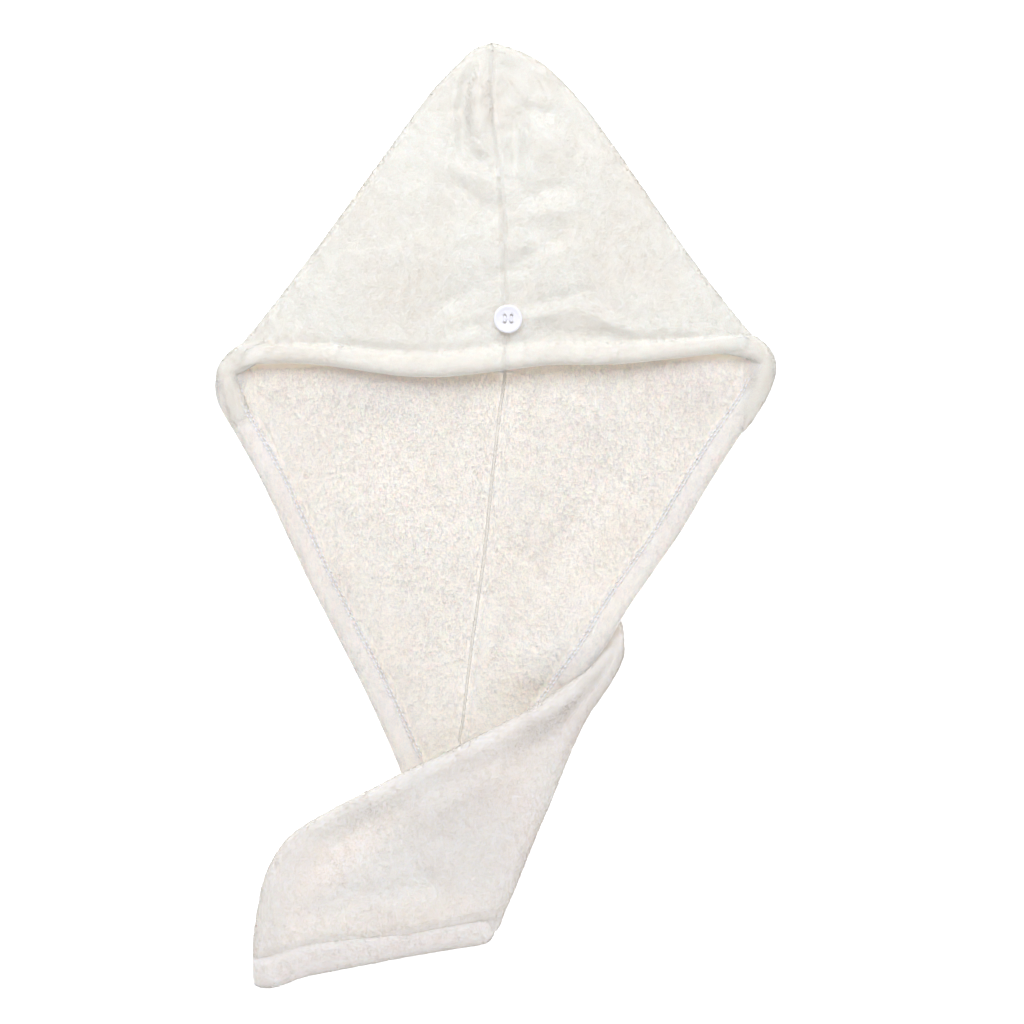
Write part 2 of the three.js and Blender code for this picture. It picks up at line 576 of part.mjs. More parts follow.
function named(name, solid, material) {
  const mesh = solid.getMesh();
  const geometry = new THREE.BufferGeometry();
  geometry.setAttribute("position", new THREE.BufferAttribute(new Float32Array(mesh.vertProperties), 3));
  geometry.setIndex(new THREE.BufferAttribute(new Uint32Array(mesh.triVerts), 1));
  geometry.computeVertexNormals();
  const piece = new THREE.Mesh(geometry, material);
  piece.name = name;
  return piece;
}

const fleece = new THREE.MeshStandardMaterial({ color: 0xf2eee6, roughness: 1, metalness: 0 });
const plastic = new THREE.MeshStandardMaterial({ color: 0xeceaf0, roughness: 0.35, metalness: 0 });
const threadMaterial = new THREE.MeshStandardMaterial({ color: 0xf4f2ee, roughness: 0.8, metalness: 0 });

const towel = new THREE.Group();
towel.name = "hair_towel";
towel.add(named("left_panel", leftPanel(), fleece));
towel.add(named("right_panel", rightPanel(), fleece));
towel.add(named("button", buttonSolid(), plastic));
towel.add(named("button_thread", threadSolid(), threadMaterial));

export default towel;
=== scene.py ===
import math

import bmesh
import bpy
import numpy as np
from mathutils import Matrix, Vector


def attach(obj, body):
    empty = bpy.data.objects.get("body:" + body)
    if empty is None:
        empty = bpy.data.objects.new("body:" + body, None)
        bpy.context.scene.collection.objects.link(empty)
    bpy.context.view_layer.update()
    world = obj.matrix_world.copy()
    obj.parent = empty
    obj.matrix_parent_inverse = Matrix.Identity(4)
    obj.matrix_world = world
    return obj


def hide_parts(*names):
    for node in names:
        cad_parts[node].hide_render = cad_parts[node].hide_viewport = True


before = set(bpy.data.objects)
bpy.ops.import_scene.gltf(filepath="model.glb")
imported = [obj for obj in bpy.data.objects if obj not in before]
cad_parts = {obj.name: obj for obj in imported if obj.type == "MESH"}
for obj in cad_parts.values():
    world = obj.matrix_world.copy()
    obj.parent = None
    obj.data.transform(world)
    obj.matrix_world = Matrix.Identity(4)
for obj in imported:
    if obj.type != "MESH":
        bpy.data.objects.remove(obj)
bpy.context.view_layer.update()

MM = 0.001
rng = np.random.default_rng(12)

# Driving dimensions, most of them the same as the solids'
CLOTH = 3.6
HEM = 8.4
HEM_WIDTH = 18.5
HEM_NOSE = 7.0
NOSE_TIP = 0.06  # share of the hem's thickness at the very edge
FOLD = 6.5
HOOD_RISE = 8.0
PEAK = 325.5
RIM = 100.5
SEAM_LAP = 0.15  # how far the two panels' edges press into each other where they are sewn
BUTTON_X, BUTTON_Y, BUTTON_RADIUS = 8.8, 137.0, 10.0
HOLE_OFFSET, HOLE_RADIUS, SHANK = 2.2, 1.1, 1.6
BUTTON_SEAT = 2 * FOLD + HOOD_RISE
SKIN = 0.7  # how far the woven ground lies under the sheet's full face
SKIN_SHARE = 0.3  # largest share of a thin sheet that its ground is drawn in at each face
HEM_PILE = 0.75  # length of the pile on the turned hems, as a share of the open cloth's
CORNER_LENGTH = 34.0  # how far down the side hem its round turn into the front rim reaches
END_HEIGHT = 11.6  # height of the hem at the tail's end

# Centre seam: y, x
SEAM = np.array([
    (340, -2), (290, -1.8), (255, 1.8), (220, 4.6), (150, 6.7), (100, 6.7), (74, 3.2), (25, -2.5),
    (-24, -7.4), (-60, -12.3), (-101, -17.9), (-143, -22.8), (-162, -25), (-178, -16), (-188, -2),
    (-197, 10), (-211, 18), (-231, 15), (-248, 7), (-266, -2.5),
], float)

# Outline of the left panel: seam station, x, y
LEFT_EDGE = np.array([
    (325.5, -2, 332), (317, -15, 327.5), (303, -27, 316.5), (285, -44.5, 298), (243, -83.5, 245.5),
    (195, -118, 198), (150, -153.5, 151), (125.5, -177, 122), (113, -190, 109.5), (100.5, -196.5, 95),
    (84, -195, 79), (57, -182.5, 56.5), (24, -165, 25), (-10, -148.5, -10), (-45, -132, -45),
    (-82, -113, -82), (-112, -97.5, -112), (-140, -84, -140), (-162, -73, -165), (-178, -66.5, -182),
    (-188, -65, -197), (-197, -69, -212), (-211, -82, -228.5), (-231, -105, -249.5),
    (-248, -130, -266), (-266, -142.5, -282),
], float)

# Outline of the right panel: seam station, x, y, lift of its hem
RIGHT_EDGE = np.array([
    (325.5, -2, 332, 0), (317, 13.5, 327.5, 0), (303, 32, 318, 0), (285, 53.5, 298, 0),
    (262, 72, 275, 0), (225, 103.5, 230, 0), (180, 137, 181.5, 0), (142, 165, 145, 0),
    (125.5, 180.5, 126.5, 0), (113, 191.5, 116, 0), (100.5, 197.1, 103, 0), (86, 193, 88, 0),
    (71, 183, 72.5, 0), (50, 168, 50, 0), (20, 149, 20, 0), (-12, 130, -12, 0),
    (-45, 107.5, -44.5, 2), (-72, 91.5, -67.5, 8), (-90, 79.5, -88, 11), (-108, 65.5, -108, 8),
    (-124, 54.5, -124, 1.5), (-140, 44, -140, 0), (-154, 35, -153, 0), (-168, 27, -165, 0),
], float)

# Front rim: x, rise of its edge above the straight line between the corners
RIM_WAVE = np.array([
    (-200, 0), (-191, 1), (-180, 8), (-150, 10), (-125, 8.5), (-100, 4.5), (-67, -1), (-39, -2.7),
    (-15, -1.2), (6.5, 0.8), (38, 4), (87, 4.2), (129, 8), (162, 11), (183, 11), (192, 3), (200, 0),
], float)

# Dents and puckers of the hood's front: x1, y1, x2, y2, height, width
PUCKERS = [
    (-11, 320, -11, 258, 3.0, 8),
    (-19, 315, -24, 286, -3.0, 4.5),
    (-24, 286, -21.5, 258, -3.0, 4.5),
    (-21.5, 258, -5, 240, -2.0, 7),
    (8, 310, 10, 266, -1.8, 8),
    (13, 236, 14, 270, -3.0, 6.5),
    (14, 270, 21, 283, -2.6, 6),
    (21, 283, 47, 281, -2.6, 6),
    (28, 266, 60, 250, 1.8, 14),
    (32, 302, 84, 246, -1.6, 9),
    (-26, 244, -2, 232, 1.2, 7),
    (-35, 236, -2, 210, -1.6, 6),
    (10, 222, 50, 230, -1.5, 6),
    (10, 207, 60, 216, 1.4, 6),
    (8, 190, 45, 186, 1.0, 6),
    (8, 169, 47, 198, -1.8, 6),
    (14, 143, 64, 157, -1.6, 4.5),
    (14, 136, 55, 145, 1.6, 5),
    (55, 145, 97, 128, 1.6, 5),
    (30, 129, 95, 125, -1.4, 4),
    (-1, 165, -50, 139, -1.3, 7),
    (-2, 134, -34, 127, -1.2, 5),
    (-2, 190, -30, 200, 0.8, 7),
    (96, 132, 176, 129, 1.2, 5),
    (-150, 131, -40, 118, 0.9, 6),
]

# Soft valleys and swells of the open part inside: x1, y1, x2, y2, height, width
INNER_FORMS = [
    (-158, 60, -60, -150, 1.0, 12),
    (-140, 96, -20, 98, 3.4, 26),
    (75, 92, 70, 45, 1.6, 16),
    (112, 100, 160, 92, 3.4, 26),
    (86, 18, 20, -60, -1.5, 14),
    (60, 40, 25, -10, 1.0, 16),
    (40, -10, 0, -110, 0.8, 12),
    (-100, 70, -40, -20, -0.8, 22),
]

# Tail's flap: lx, ly and rx, ry are its side folds, low the left fold's underside, lip its turned lip
FLAP = np.array([
    (0, 78, -79, 88, -72, 0, 3), (1, 72, -94, 90.5, -84, 0, 4), (2, 59, -109.5, 89.5, -101, 2, 6),
    (3, 41, -123.5, 78.5, -122, 6, 10), (4, 18, -138, 66.5, -139, 9.6, 14),
    (5, -8, -151.5, 57, -157.5, 9.6, 16), (6, -36, -166, 48.5, -177.5, 9.6, 16),
    (7, -64, -179, 40.5, -198, 9.6, 16), (8, -94, -194.5, 31, -220, 9, 12),
    (9, -122, -209.5, 22, -242, 3, 12), (10, -145.5, -225.5, 15, -259.5, 0, 10),
    (11, -161, -250, 9.5, -272.5, 0, 10), (12, -167, -274.5, 6.4, -279.5, 0, 10),
    (13, -170.2, -298, 4.2, -286, 0, 10), (14, -170.3, -312, 1.2, -291.5, 0, 8),
], float)

# Dents of the tail: x1, y1, x2, y2, height, width
TAIL_FORMS = [
    (-125, -222, -62, -196, 0.8, 10),
    (-50, -182, 46, -142, 0.8, 8),
    (-55, -247, -42, -262, -1.3, 5),
    (-30, -214, -2, -196, -1.2, 8),
    (12, -186, 30, -165, -0.7, 10),
    (-120, -236, -70, -225, -1.0, 12),
    (-150, -290, -20, -268, 0.9, 9),
    (-140, -276, -30, -253, -0.8, 7),
    (40, -150, 62, -128, 1.0, 7),
    (-12, -242, 6, -226, 1.0, 7),
]

# Round rolls of the hem: index, x, y of the centre line, half the width, underside and top
END_HEM = np.array([
    (0, -170.2, -318.8, 12.6, 0, 11.6), (1, -157, -318.2, 13.2, 0, 12.2), (2, -137, -311.6, 12.8, 0, 12.4),
    (3, -109, -306.4, 12.4, 0, 12.4), (4, -67, -300.4, 10.3, 0, 12.4), (5, -39, -295.6, 10.4, 0, 12.4),
    (6, -1.5, -288.4, 11.6, 0, 11.6),
], float)
LEFT_CORNER = np.array([
    (0, -146, 117.5, 8.5, 7, 13), (1, -164, 116.5, 8.8, 6.5, 14.8), (2, -178, 110, 9.2, 3, 15.2),
    (3, -187.4, 101, 8, 0.3, 14.6), (4, -186.8, 88, 8.4, 0.3, 13), (5, -181.3, 73.5, 8.4, 0.3, 10.6),
    (6, -171.5, 52.5, 7.2, 0.3, 6.4),
], float)
RIGHT_CORNER = np.array([
    (0, 150, 121.5, 8.5, 7, 13), (1, 167, 120.6, 8.8, 6.5, 14.8), (2, 180.5, 116.8, 8.6, 3, 15.2),
    (3, 189.6, 107.5, 7, 0.3, 14.6), (4, 187, 94, 8, 0.3, 13), (5, 178.6, 79.5, 9, 0.3, 10.8),
    (6, 165.8, 59, 8.2, 0.3, 6.8),
], float)


def mix(low, high, share):
    return low + (high - low) * share


def ramp(low, high, value):
    """Smooth step from 0 at low to 1 at high."""
    share = np.clip((value - low) / (high - low), 0, 1)
    return share * share * (3 - 2 * share)


def curve(table, column, at):
    """Smooth curve through a table's rows: one column's value where the first column has the value at."""
    rows = table if table[-1, 0] > table[0, 0] else table[::-1]
    keys, values = rows[:, 0], rows[:, column]
    slopes = np.empty(len(keys))
    slopes[1:-1] = (values[2:] - values[:-2]) / (keys[2:] - keys[:-2])
    slopes[0] = (values[1] - values[0]) / (keys[1] - keys[0])
    slopes[-1] = (values[-1] - values[-2]) / (keys[-1] - keys[-2])
    at = np.asarray(at, float)
    index = np.clip(np.searchsorted(keys, at, side="right") - 1, 0, len(keys) - 2)
    span = keys[index + 1] - keys[index]
    t = np.clip((at - keys[index]) / span, 0, 1)
    t2, t3 = t * t, t * t * t
    return (
        (2 * t3 - 3 * t2 + 1) * values[index]
        + (t3 - 2 * t2 + t) * span * slopes[index]
        + (3 * t2 - 2 * t3) * values[index + 1]
        + (t3 - t2) * span * slopes[index + 1]
    )


def unit(vectors):
    """The vectors along the last axis, made one long."""
    return vectors / np.maximum(np.linalg.norm(vectors, axis=-1, keepdims=True), 1e-9)


def plan_points(table, column, at):
    """Points x, y on the curve of a table's column and the one after it."""
    return np.stack([curve(table, column, at), curve(table, column + 1, at)], 1)


def travelled(points):
    """Length of a line of points up to each of them."""
    return np.concatenate([[0], np.cumsum(np.linalg.norm(np.diff(points, axis=0), axis=1))])


def noise(x, y, size, seed):
    """Smooth noise from -1 to 1 with lumps about size millimetres wide."""
    lattice = np.random.default_rng(seed).uniform(-1, 1, (256, 256))
    u, v = np.asarray(x) / size + 300.0, np.asarray(y) / size + 300.0
    i, j = np.floor(u).astype(int), np.floor(v).astype(int)
    a, b = u - i, v - j
    a, b = a * a * (3 - 2 * a), b * b * (3 - 2 * b)
    near = lattice[i % 256, j % 256] * (1 - a) + lattice[(i + 1) % 256, j % 256] * a
    far = lattice[i % 256, (j + 1) % 256] * (1 - a) + lattice[(i + 1) % 256, (j + 1) % 256] * a
    return near * (1 - b) + far * b


def forms_height(forms, x, y):
    """Sum of long soft dents and swells, each along a line with a height and a width."""
    total = np.zeros_like(x)
    for x1, y1, x2, y2, height, width in forms:
        dx, dy = x2 - x1, y2 - y1
        along = np.clip(((x - x1) * dx + (y - y1) * dy) / (dx * dx + dy * dy), 0, 1)
        distance = np.hypot(x - x1 - dx * along, y - y1 - dy * along)
        taper = 0.35 + 0.65 * np.sin(np.pi * np.clip(along, 0.08, 0.92))
        total += height * taper * np.exp(-((distance / width) ** 2))
    return total


def seam_x(y):
    return curve(SEAM, 1, y)


def hem_band(inset):
    """1 on the turned hem and 0 on the single cloth, by the distance from the outer edge."""
    return 1 - ramp(HEM_WIDTH - 5, HEM_WIDTH + 1.5, inset)


def hem_nose(inset):
    """Share of the hem's full thickness in its round nose."""
    return np.sqrt(1 - (1 - np.clip(inset / HEM_NOSE, 0, 1)) ** 2) * (1 - NOSE_TIP) + NOSE_TIP


def panel_rows(table, side, stations):
    """Cross rows of a panel: seam end, outer edge, outward direction and the side fold's line."""
    edge = plan_points(table, 1, stations)
    tangent = plan_points(table, 1, stations - 0.5) - plan_points(table, 1, stations + 0.5)
    out = unit(np.stack([tangent[:, 1], -tangent[:, 0]], 1))
    out[stations >= PEAK] = (0, 1)
    edge[stations >= PEAK, 0] += side * -SEAM_LAP / 2
    out[out[:, 0] * side < 0] *= -1
    start = np.stack([seam_x(stations) + side * -SEAM_LAP / 2, stations], 1)
    at_rim = (1 - ramp(0, 25, np.abs(stations - RIM)))[:, None]
    out = unit(mix(out, unit(edge - start), at_rim))
    return edge, out, start, edge - out * FOLD


def places_along(start, way, distance):
    """x and y of places at distances from the rows' starts."""
    return start[:, None, 0] + way[:, None, 0] * distance, start[:, None, 1] + way[:, None, 1] * distance


def row_points(start, stop, reach, place):
    """Shares, x and y of places on rows that run from start to stop over their reach."""
    share = np.where(reach[:, None] > 0.01, place / np.maximum(reach[:, None], 0.01), 1)
    x = mix(start[:, None, 0], stop[:, None, 0], share)
    y = mix(start[:, None, 1], stop[:, None, 1], share)
    return share, x, y


def column_places(length, near, count, full):
    """Places of a row's columns, with short steps at its start; length has one value per row."""
    near = np.asarray(near, float)
    scale = np.minimum(1, length / full)[:, None]
    short = near[None, :] * scale
    rest = count - len(near)
    share = np.arange(1, rest + 1)[None, :] / rest
    return np.concatenate([short, mix(short[:, -1:], length[:, None], share)], 1)


NEAR_SEAM = [0, 0.5, 1.1, 1.9, 2.9, 4.1, 5.6, 7.4, 9.5, 12, 14.6, 17.4]
FRONT_COLUMNS = 82
ARC_ANGLES = np.radians(np.arange(90, -91, -15))
NOSE_COLUMN = FRONT_COLUMNS + 5
HEM_INSETS = [7.8, 9.2, 10.6, 12, 13.2, 14.4, 15.6, 16.8, 18, 19.4, 21]
NOSE_INSETS = [0, 0.3, 0.9, 1.8, 3.1, 4.7, FOLD]
BACK_COLUMNS = 52
FRONT_FULL, BACK_FULL, OPEN_FULL = 130, 90, 45  # rows at least this long have full first steps
CORNER_INSETS = (11, 24)  # where the round corner falls to the cloth inside
CORNER_FILL = 22  # how far above the rim the round corner is filled
WAVE_SIZE, RIPPLE_SIZE = 30, 7  # widths of the lumps in the cloth's waves

# Forms of the hood's front, above its plain height
SWELL_START, SWELL_FULL = PEAK + 4, PEAK - 110  # seam stations between which the hood swells up
DOME_POWER = 0.9  # how full the swell is across
PUCKER_GAIN, WAVE_HEIGHT, RIPPLE_HEIGHT = 1.5, 1.0, 0.22
PUCKERS_FULL = PEAK - 16
GATHER_HEIGHT, GATHER_REACH = 0.55, 16  # the small gathers beside the seam
GATHER_STEP, GATHER_GROUP, GATHER_JITTER = 3.6, 23, 2.2

# The front rim's wave, groove and hem, and where they fade; the shares run from the seam to the side fold
WAVE_REACH = 70  # how far above the rim its wave is felt
WAVE_END_RISE = (RIM + 4, RIM + 50)  # stations between which the wave's end moves to its place above
WAVE_END, WAVE_END_FALL = 0.95, 0.14  # share where the wave fades at the rim, and how much less above it
CORNER_THINNING, CORNER_SHARES = 0.75, (0.86, 1)
NOSE_SHARES = (0.84, 0.96)
CREASE_SHARES = (0.68, 0.85)
FRONT_GROOVE, FRONT_GROOVE_WIDTH = 1.3, 3.2
RIM_LIFT, RIM_ROLL = 1.2, 0.9
RIM_CREASE, RIM_CREASE_WIDTH = 0.9, 4


def front_height(x, y, station, share):
    """Height of the hood's front at a place; share is how far from the seam to the side fold it is."""
    rise = HOOD_RISE * ramp(SWELL_START, SWELL_FULL, station)
    plain = 2 * FOLD + rise * np.clip(1 - share**2, 0, 1) ** DOME_POWER
    folds = PUCKER_GAIN * forms_height(PUCKERS, x, y) + WAVE_HEIGHT * noise(x, y, WAVE_SIZE, 3)
    folds = folds + RIPPLE_HEIGHT * noise(x, y, RIPPLE_SIZE, 6)
    toward_seam = np.exp(-np.abs(x - seam_x(y)) / GATHER_REACH)
    uneven = y / GATHER_STEP + GATHER_JITTER * noise(x * 0, y, WAVE_SIZE, 8)
    gathers = GATHER_HEIGHT * toward_seam * np.sin(uneven) * np.sin(y / GATHER_GROUP + 1)
    puckered = plain + (folds + gathers) * (1 - share**4) * ramp(PEAK, PUCKERS_FULL, station)
    seat = 1 - ramp(BUTTON_RADIUS, BUTTON_RADIUS * 2, np.hypot(x - BUTTON_X, y - BUTTON_Y))
    return mix(puckered, BUTTON_SEAT, seat)


def hood_grid(table, side, stations):
    """Outer and inner points of the hood's rows, from the front seam round the fold to the back seam."""
    _, out, start, fold = panel_rows(table, side, stations)
    rim_inset = (stations - RIM)[:, None]
    reach = np.linalg.norm(fold - start, axis=1)
    place = column_places(reach, NEAR_SEAM, FRONT_COLUMNS, FRONT_FULL)
    share, x, y = row_points(start, fold, reach, place)
    station = stations[:, None] + 0 * x
    wave_end = WAVE_END - WAVE_END_FALL * ramp(*WAVE_END_RISE, station)
    y = y + ramp(RIM + WAVE_REACH, RIM, station) * (1 - ramp(wave_end, 1, share)) * curve(RIM_WAVE, 1, x)
    band, nose = hem_band(rim_inset), hem_nose(rim_inset)
    corner = 1 - CORNER_THINNING * ramp(*CORNER_SHARES, share)
    nose = mix(nose, 1, ramp(*NOSE_SHARES, share))
    groove = FRONT_GROOVE * (1 - ramp(0, FRONT_GROOVE_WIDTH, place)) * ramp(0, 30, reach)[:, None]
    crease = np.exp(-(((rim_inset - HEM_WIDTH - 1) / RIM_CREASE_WIDTH) ** 2))
    roll = RIM_ROLL * np.sin(np.pi * np.clip(rim_inset / HEM_WIDTH, 0, 1))
    top = front_height(x, y, station, share) - groove + (RIM_LIFT * band + roll) * corner
    top = top - RIM_CREASE * crease * (1 - ramp(*CREASE_SHARES, share))
    thickness = CLOTH + (HEM - CLOTH) * band * corner
    middle = top - thickness / 2
    half = thickness / 2 * nose
    front_outer = np.stack([x, y, middle + half], 2)
    front_inner = np.stack([x, y, middle - half], 2)

    turn = ARC_ANGLES[None, 1:]
    arcs = []
    for radius in (FOLD, FOLD - CLOTH):
        x, y = places_along(fold, out, radius * np.cos(turn))
        arcs.append(np.stack([x, y, FOLD + radius * np.sin(turn) + 0 * x], 2))

    insets = [inset - FOLD for inset in HEM_INSETS]
    place = column_places(reach, insets, len(insets) + BACK_COLUMNS, BACK_FULL)
    _, x, y = row_points(fold, start, reach, place)
    back_outer = np.stack([x, y, 0 * x], 2)
    relief = inner_relief(x, y, reach[:, None] - place, reach[:, None])
    relief = relief * (1 - ramp(*UNDER_HOOD, rim_inset))
    filled = (1 - ramp(*CORNER_INSETS, place + FOLD)) * (1 - ramp(0, CORNER_FILL, rim_inset))
    back_inner = np.stack([x, y, mix(CLOTH + relief, 2 * FOLD, filled)], 2)
    outer = np.concatenate([front_outer, arcs[0], back_outer], 1)
    inner = np.concatenate([front_inner, arcs[1], back_inner], 1)
    pile = (1 - (1 - HEM_PILE) * band) * np.ones(outer.shape[:2])
    pile[:, NOSE_COLUMN:] = 1
    return outer, inner, pile


# Forms of the open part: the cloth inside, its side hems and the seam between the panels
RELIEF_BASE, RELIEF_WAVES, RELIEF_LOWEST = 0.5, 0.35, -0.6
RELIEF_TO_SEAM = 30  # distance from the seam in which the relief fades
UNDER_HOOD = (6, 40)  # distances behind the rim between which it fades under the hood
ROW_SHOWN = (30, 60)  # lengths of a row between which its relief and groove come in
LEAST_SLANT = 0.6  # where a row meets the edge aslant, its steps are stretched by one over this at most
HEM_ROUNDING = 14  # length below the rim in which the side hem gets its full form
LIFT_FADE = (24, 62)
SIDE_ROLL, SIDE_CREASE, SIDE_CREASE_WIDTH = 0.8, 0.4, 3
INNER_GROOVE, LEFT_GROOVE_WIDTH, RIGHT_GROOVE_WIDTH = 1.7, 8, 6


def inner_relief(x, y, to_seam, length):
    """Soft swells and valleys of the cloth inside, fading towards the seam."""
    forms = forms_height(INNER_FORMS, x, y) + RELIEF_BASE + RELIEF_WAVES * noise(x, y, WAVE_SIZE, 5)
    return np.maximum(forms, RELIEF_LOWEST) * ramp(*ROW_SHOWN, length) * ramp(0, RELIEF_TO_SEAM, to_seam)


def open_grid(table, side, stations, end_insets):
    """Outer (under) and inner (upper) points of the open rows, from the side hem's nose to the seam."""
    edge, out, start, _ = panel_rows(table, side, stations)
    length = np.linalg.norm(start - edge, axis=1)
    across = unit(start - edge)
    slant = np.maximum(LEAST_SLANT, -(across * out).sum(1))[:, None]
    near = np.array(NOSE_INSETS + HEM_INSETS)
    place = column_places(length, near, len(near) + BACK_COLUMNS, OPEN_FULL)
    scale = mix(1, 1 / slant, 1 - ramp(0, 1, place / length[:, None]))
    place = np.minimum(place * scale, length[:, None])
    x, y = places_along(edge, across, place)
    inset = place * slant
    below = ramp(0, HEM_ROUNDING, RIM - stations)[:, None]
    end = end_insets[:, None]
    band = np.maximum(hem_band(inset) * below, hem_band(end))
    thickness = mix(CLOTH, HEM, band)
    nose = np.minimum(hem_nose(inset), hem_nose(end))
    lift = np.maximum(0, curve(table, 3, stations)) if table.shape[1] > 3 else 0 * stations
    raised = lift[:, None] * (1 - ramp(*LIFT_FADE, inset))
    to_seam = length[:, None] - place
    shown = ramp(*ROW_SHOWN, length)[:, None]
    roll = SIDE_ROLL * np.sin(np.pi * np.clip(inset / HEM_WIDTH, 0, 1)) * below
    crease = SIDE_CREASE * np.exp(-(((inset - HEM_WIDTH - 0.5) / SIDE_CREASE_WIDTH) ** 2)) * below
    forms = inner_relief(x, y, to_seam, length[:, None]) * (1 - band)
    groove_width = RIGHT_GROOVE_WIDTH if side > 0 else LEFT_GROOVE_WIDTH
    groove = INNER_GROOVE * (1 - ramp(0, groove_width, to_seam)) * shown
    half = thickness / 2 * nose
    middle = raised + thickness / 2
    lower = middle - half
    upper = middle + half + (roll - crease) * nose + forms - groove
    beside = (1 - ramp(0, CORNER_LENGTH, RIM - stations))[:, None]
    bend = np.sqrt(FOLD**2 - (FOLD - np.minimum(inset, FOLD)) ** 2)
    lower = mix(lower, FOLD - bend, beside)
    upper = mix(upper, FOLD + bend, beside * (1 - ramp(*CORNER_INSETS, inset)))
    pile = 1 - (1 - HEM_PILE) * np.maximum(band, 0) * np.ones_like(x)
    return np.stack([x, y, lower], 2), np.stack([x, y, upper], 2), pile


def spaced(start, stop, step):
    """Even places from start to stop, about a step apart."""
    count = max(2, int(round(abs(stop - start) / step)) + 1)
    return np.linspace(start, stop, count)


RIM_INSETS = np.array([22, 20.3, 19, 18, 17, 16, 14.5, 13, 11, 9, 7, 5.2, 3.8, 2.6, 1.6, 0.8, 0.3, 0])
END_INSETS = np.array([18, 16, 14, 12, 10, 8, 6, 4, 2.5, 1.4, 0.6, 0.2, 0])
HOOD_STEP, OPEN_STEP = 2.3, 2.5  # distance between the rows away from the hems
RIM_ROWS, END_ROWS = 24, 20  # where the close rows of the rim and of the tail's end begin
FAR_FROM_END = 100.0


def panel_grid(table, side, tail_end, turned_end):
    """Outer and inner points of a whole panel, its lengths of pile and how many rows the hood has."""
    hood_stations = np.concatenate([spaced(PEAK, RIM + RIM_ROWS, HOOD_STEP), RIM + RIM_INSETS])
    open_stations = spaced(RIM - 1.5, tail_end + (END_ROWS if turned_end else 0), OPEN_STEP)
    open_stations = np.concatenate([[RIM - 0.1], open_stations])
    ends = np.full(len(open_stations), FAR_FROM_END)
    if turned_end:
        open_stations = np.concatenate([open_stations, tail_end + END_INSETS])
        ends = np.concatenate([ends, END_INSETS])
    hood_outer, hood_inner, hood_pile = hood_grid(table, side, hood_stations)
    open_outer, open_inner, open_pile = open_grid(table, side, open_stations, ends)
    rows, columns = len(hood_stations), hood_outer.shape[1]
    outer = np.full((rows + len(open_stations), columns, 3), np.nan)
    inner = outer.copy()
    outer[:rows], inner[:rows] = hood_outer, hood_inner
    outer[rows:, NOSE_COLUMN:], inner[rows:, NOSE_COLUMN:] = open_outer, open_inner
    pile = np.ones(outer.shape[:2])
    pile[:rows], pile[rows:, NOSE_COLUMN:] = hood_pile, open_pile
    return outer, inner, pile, rows


LIP_STEPS = [1, 0.75, 0.5, 0.25]
LEFT_TURNS = np.arange(-90, -271, -12)
TOP_COLUMNS = 72
RIGHT_TURNS = np.arange(90, -91, -12)

# Forms of the flap; where it is narrow its folds and lips are shares of its width
FLAP_END = (11.5, 14)  # positions between which the flap flattens to the end hem
FOLD_SHARE, CLOTH_SHARE, WIDE_SHARE = 0.26, 0.72, 0.25
LEFT_LIP_SHARE, RIGHT_LIP, RIGHT_LIP_SHARE = 0.22, 9, 0.3
FLAP_SWELL, FLAP_WAVES = 2.2, 0.5
VALLEY, VALLEY_PLACE, VALLEY_WIDTH = -1.8, 22, 15  # the valley beside the left fold
END_CREASE, END_CREASE_WIDTH, END_CREASE_X = 0.8, 2.4, (-167, -154)
END_DIVE, END_DIVE_LENGTH = 2.5, 6  # how the cloth dives under the end hem


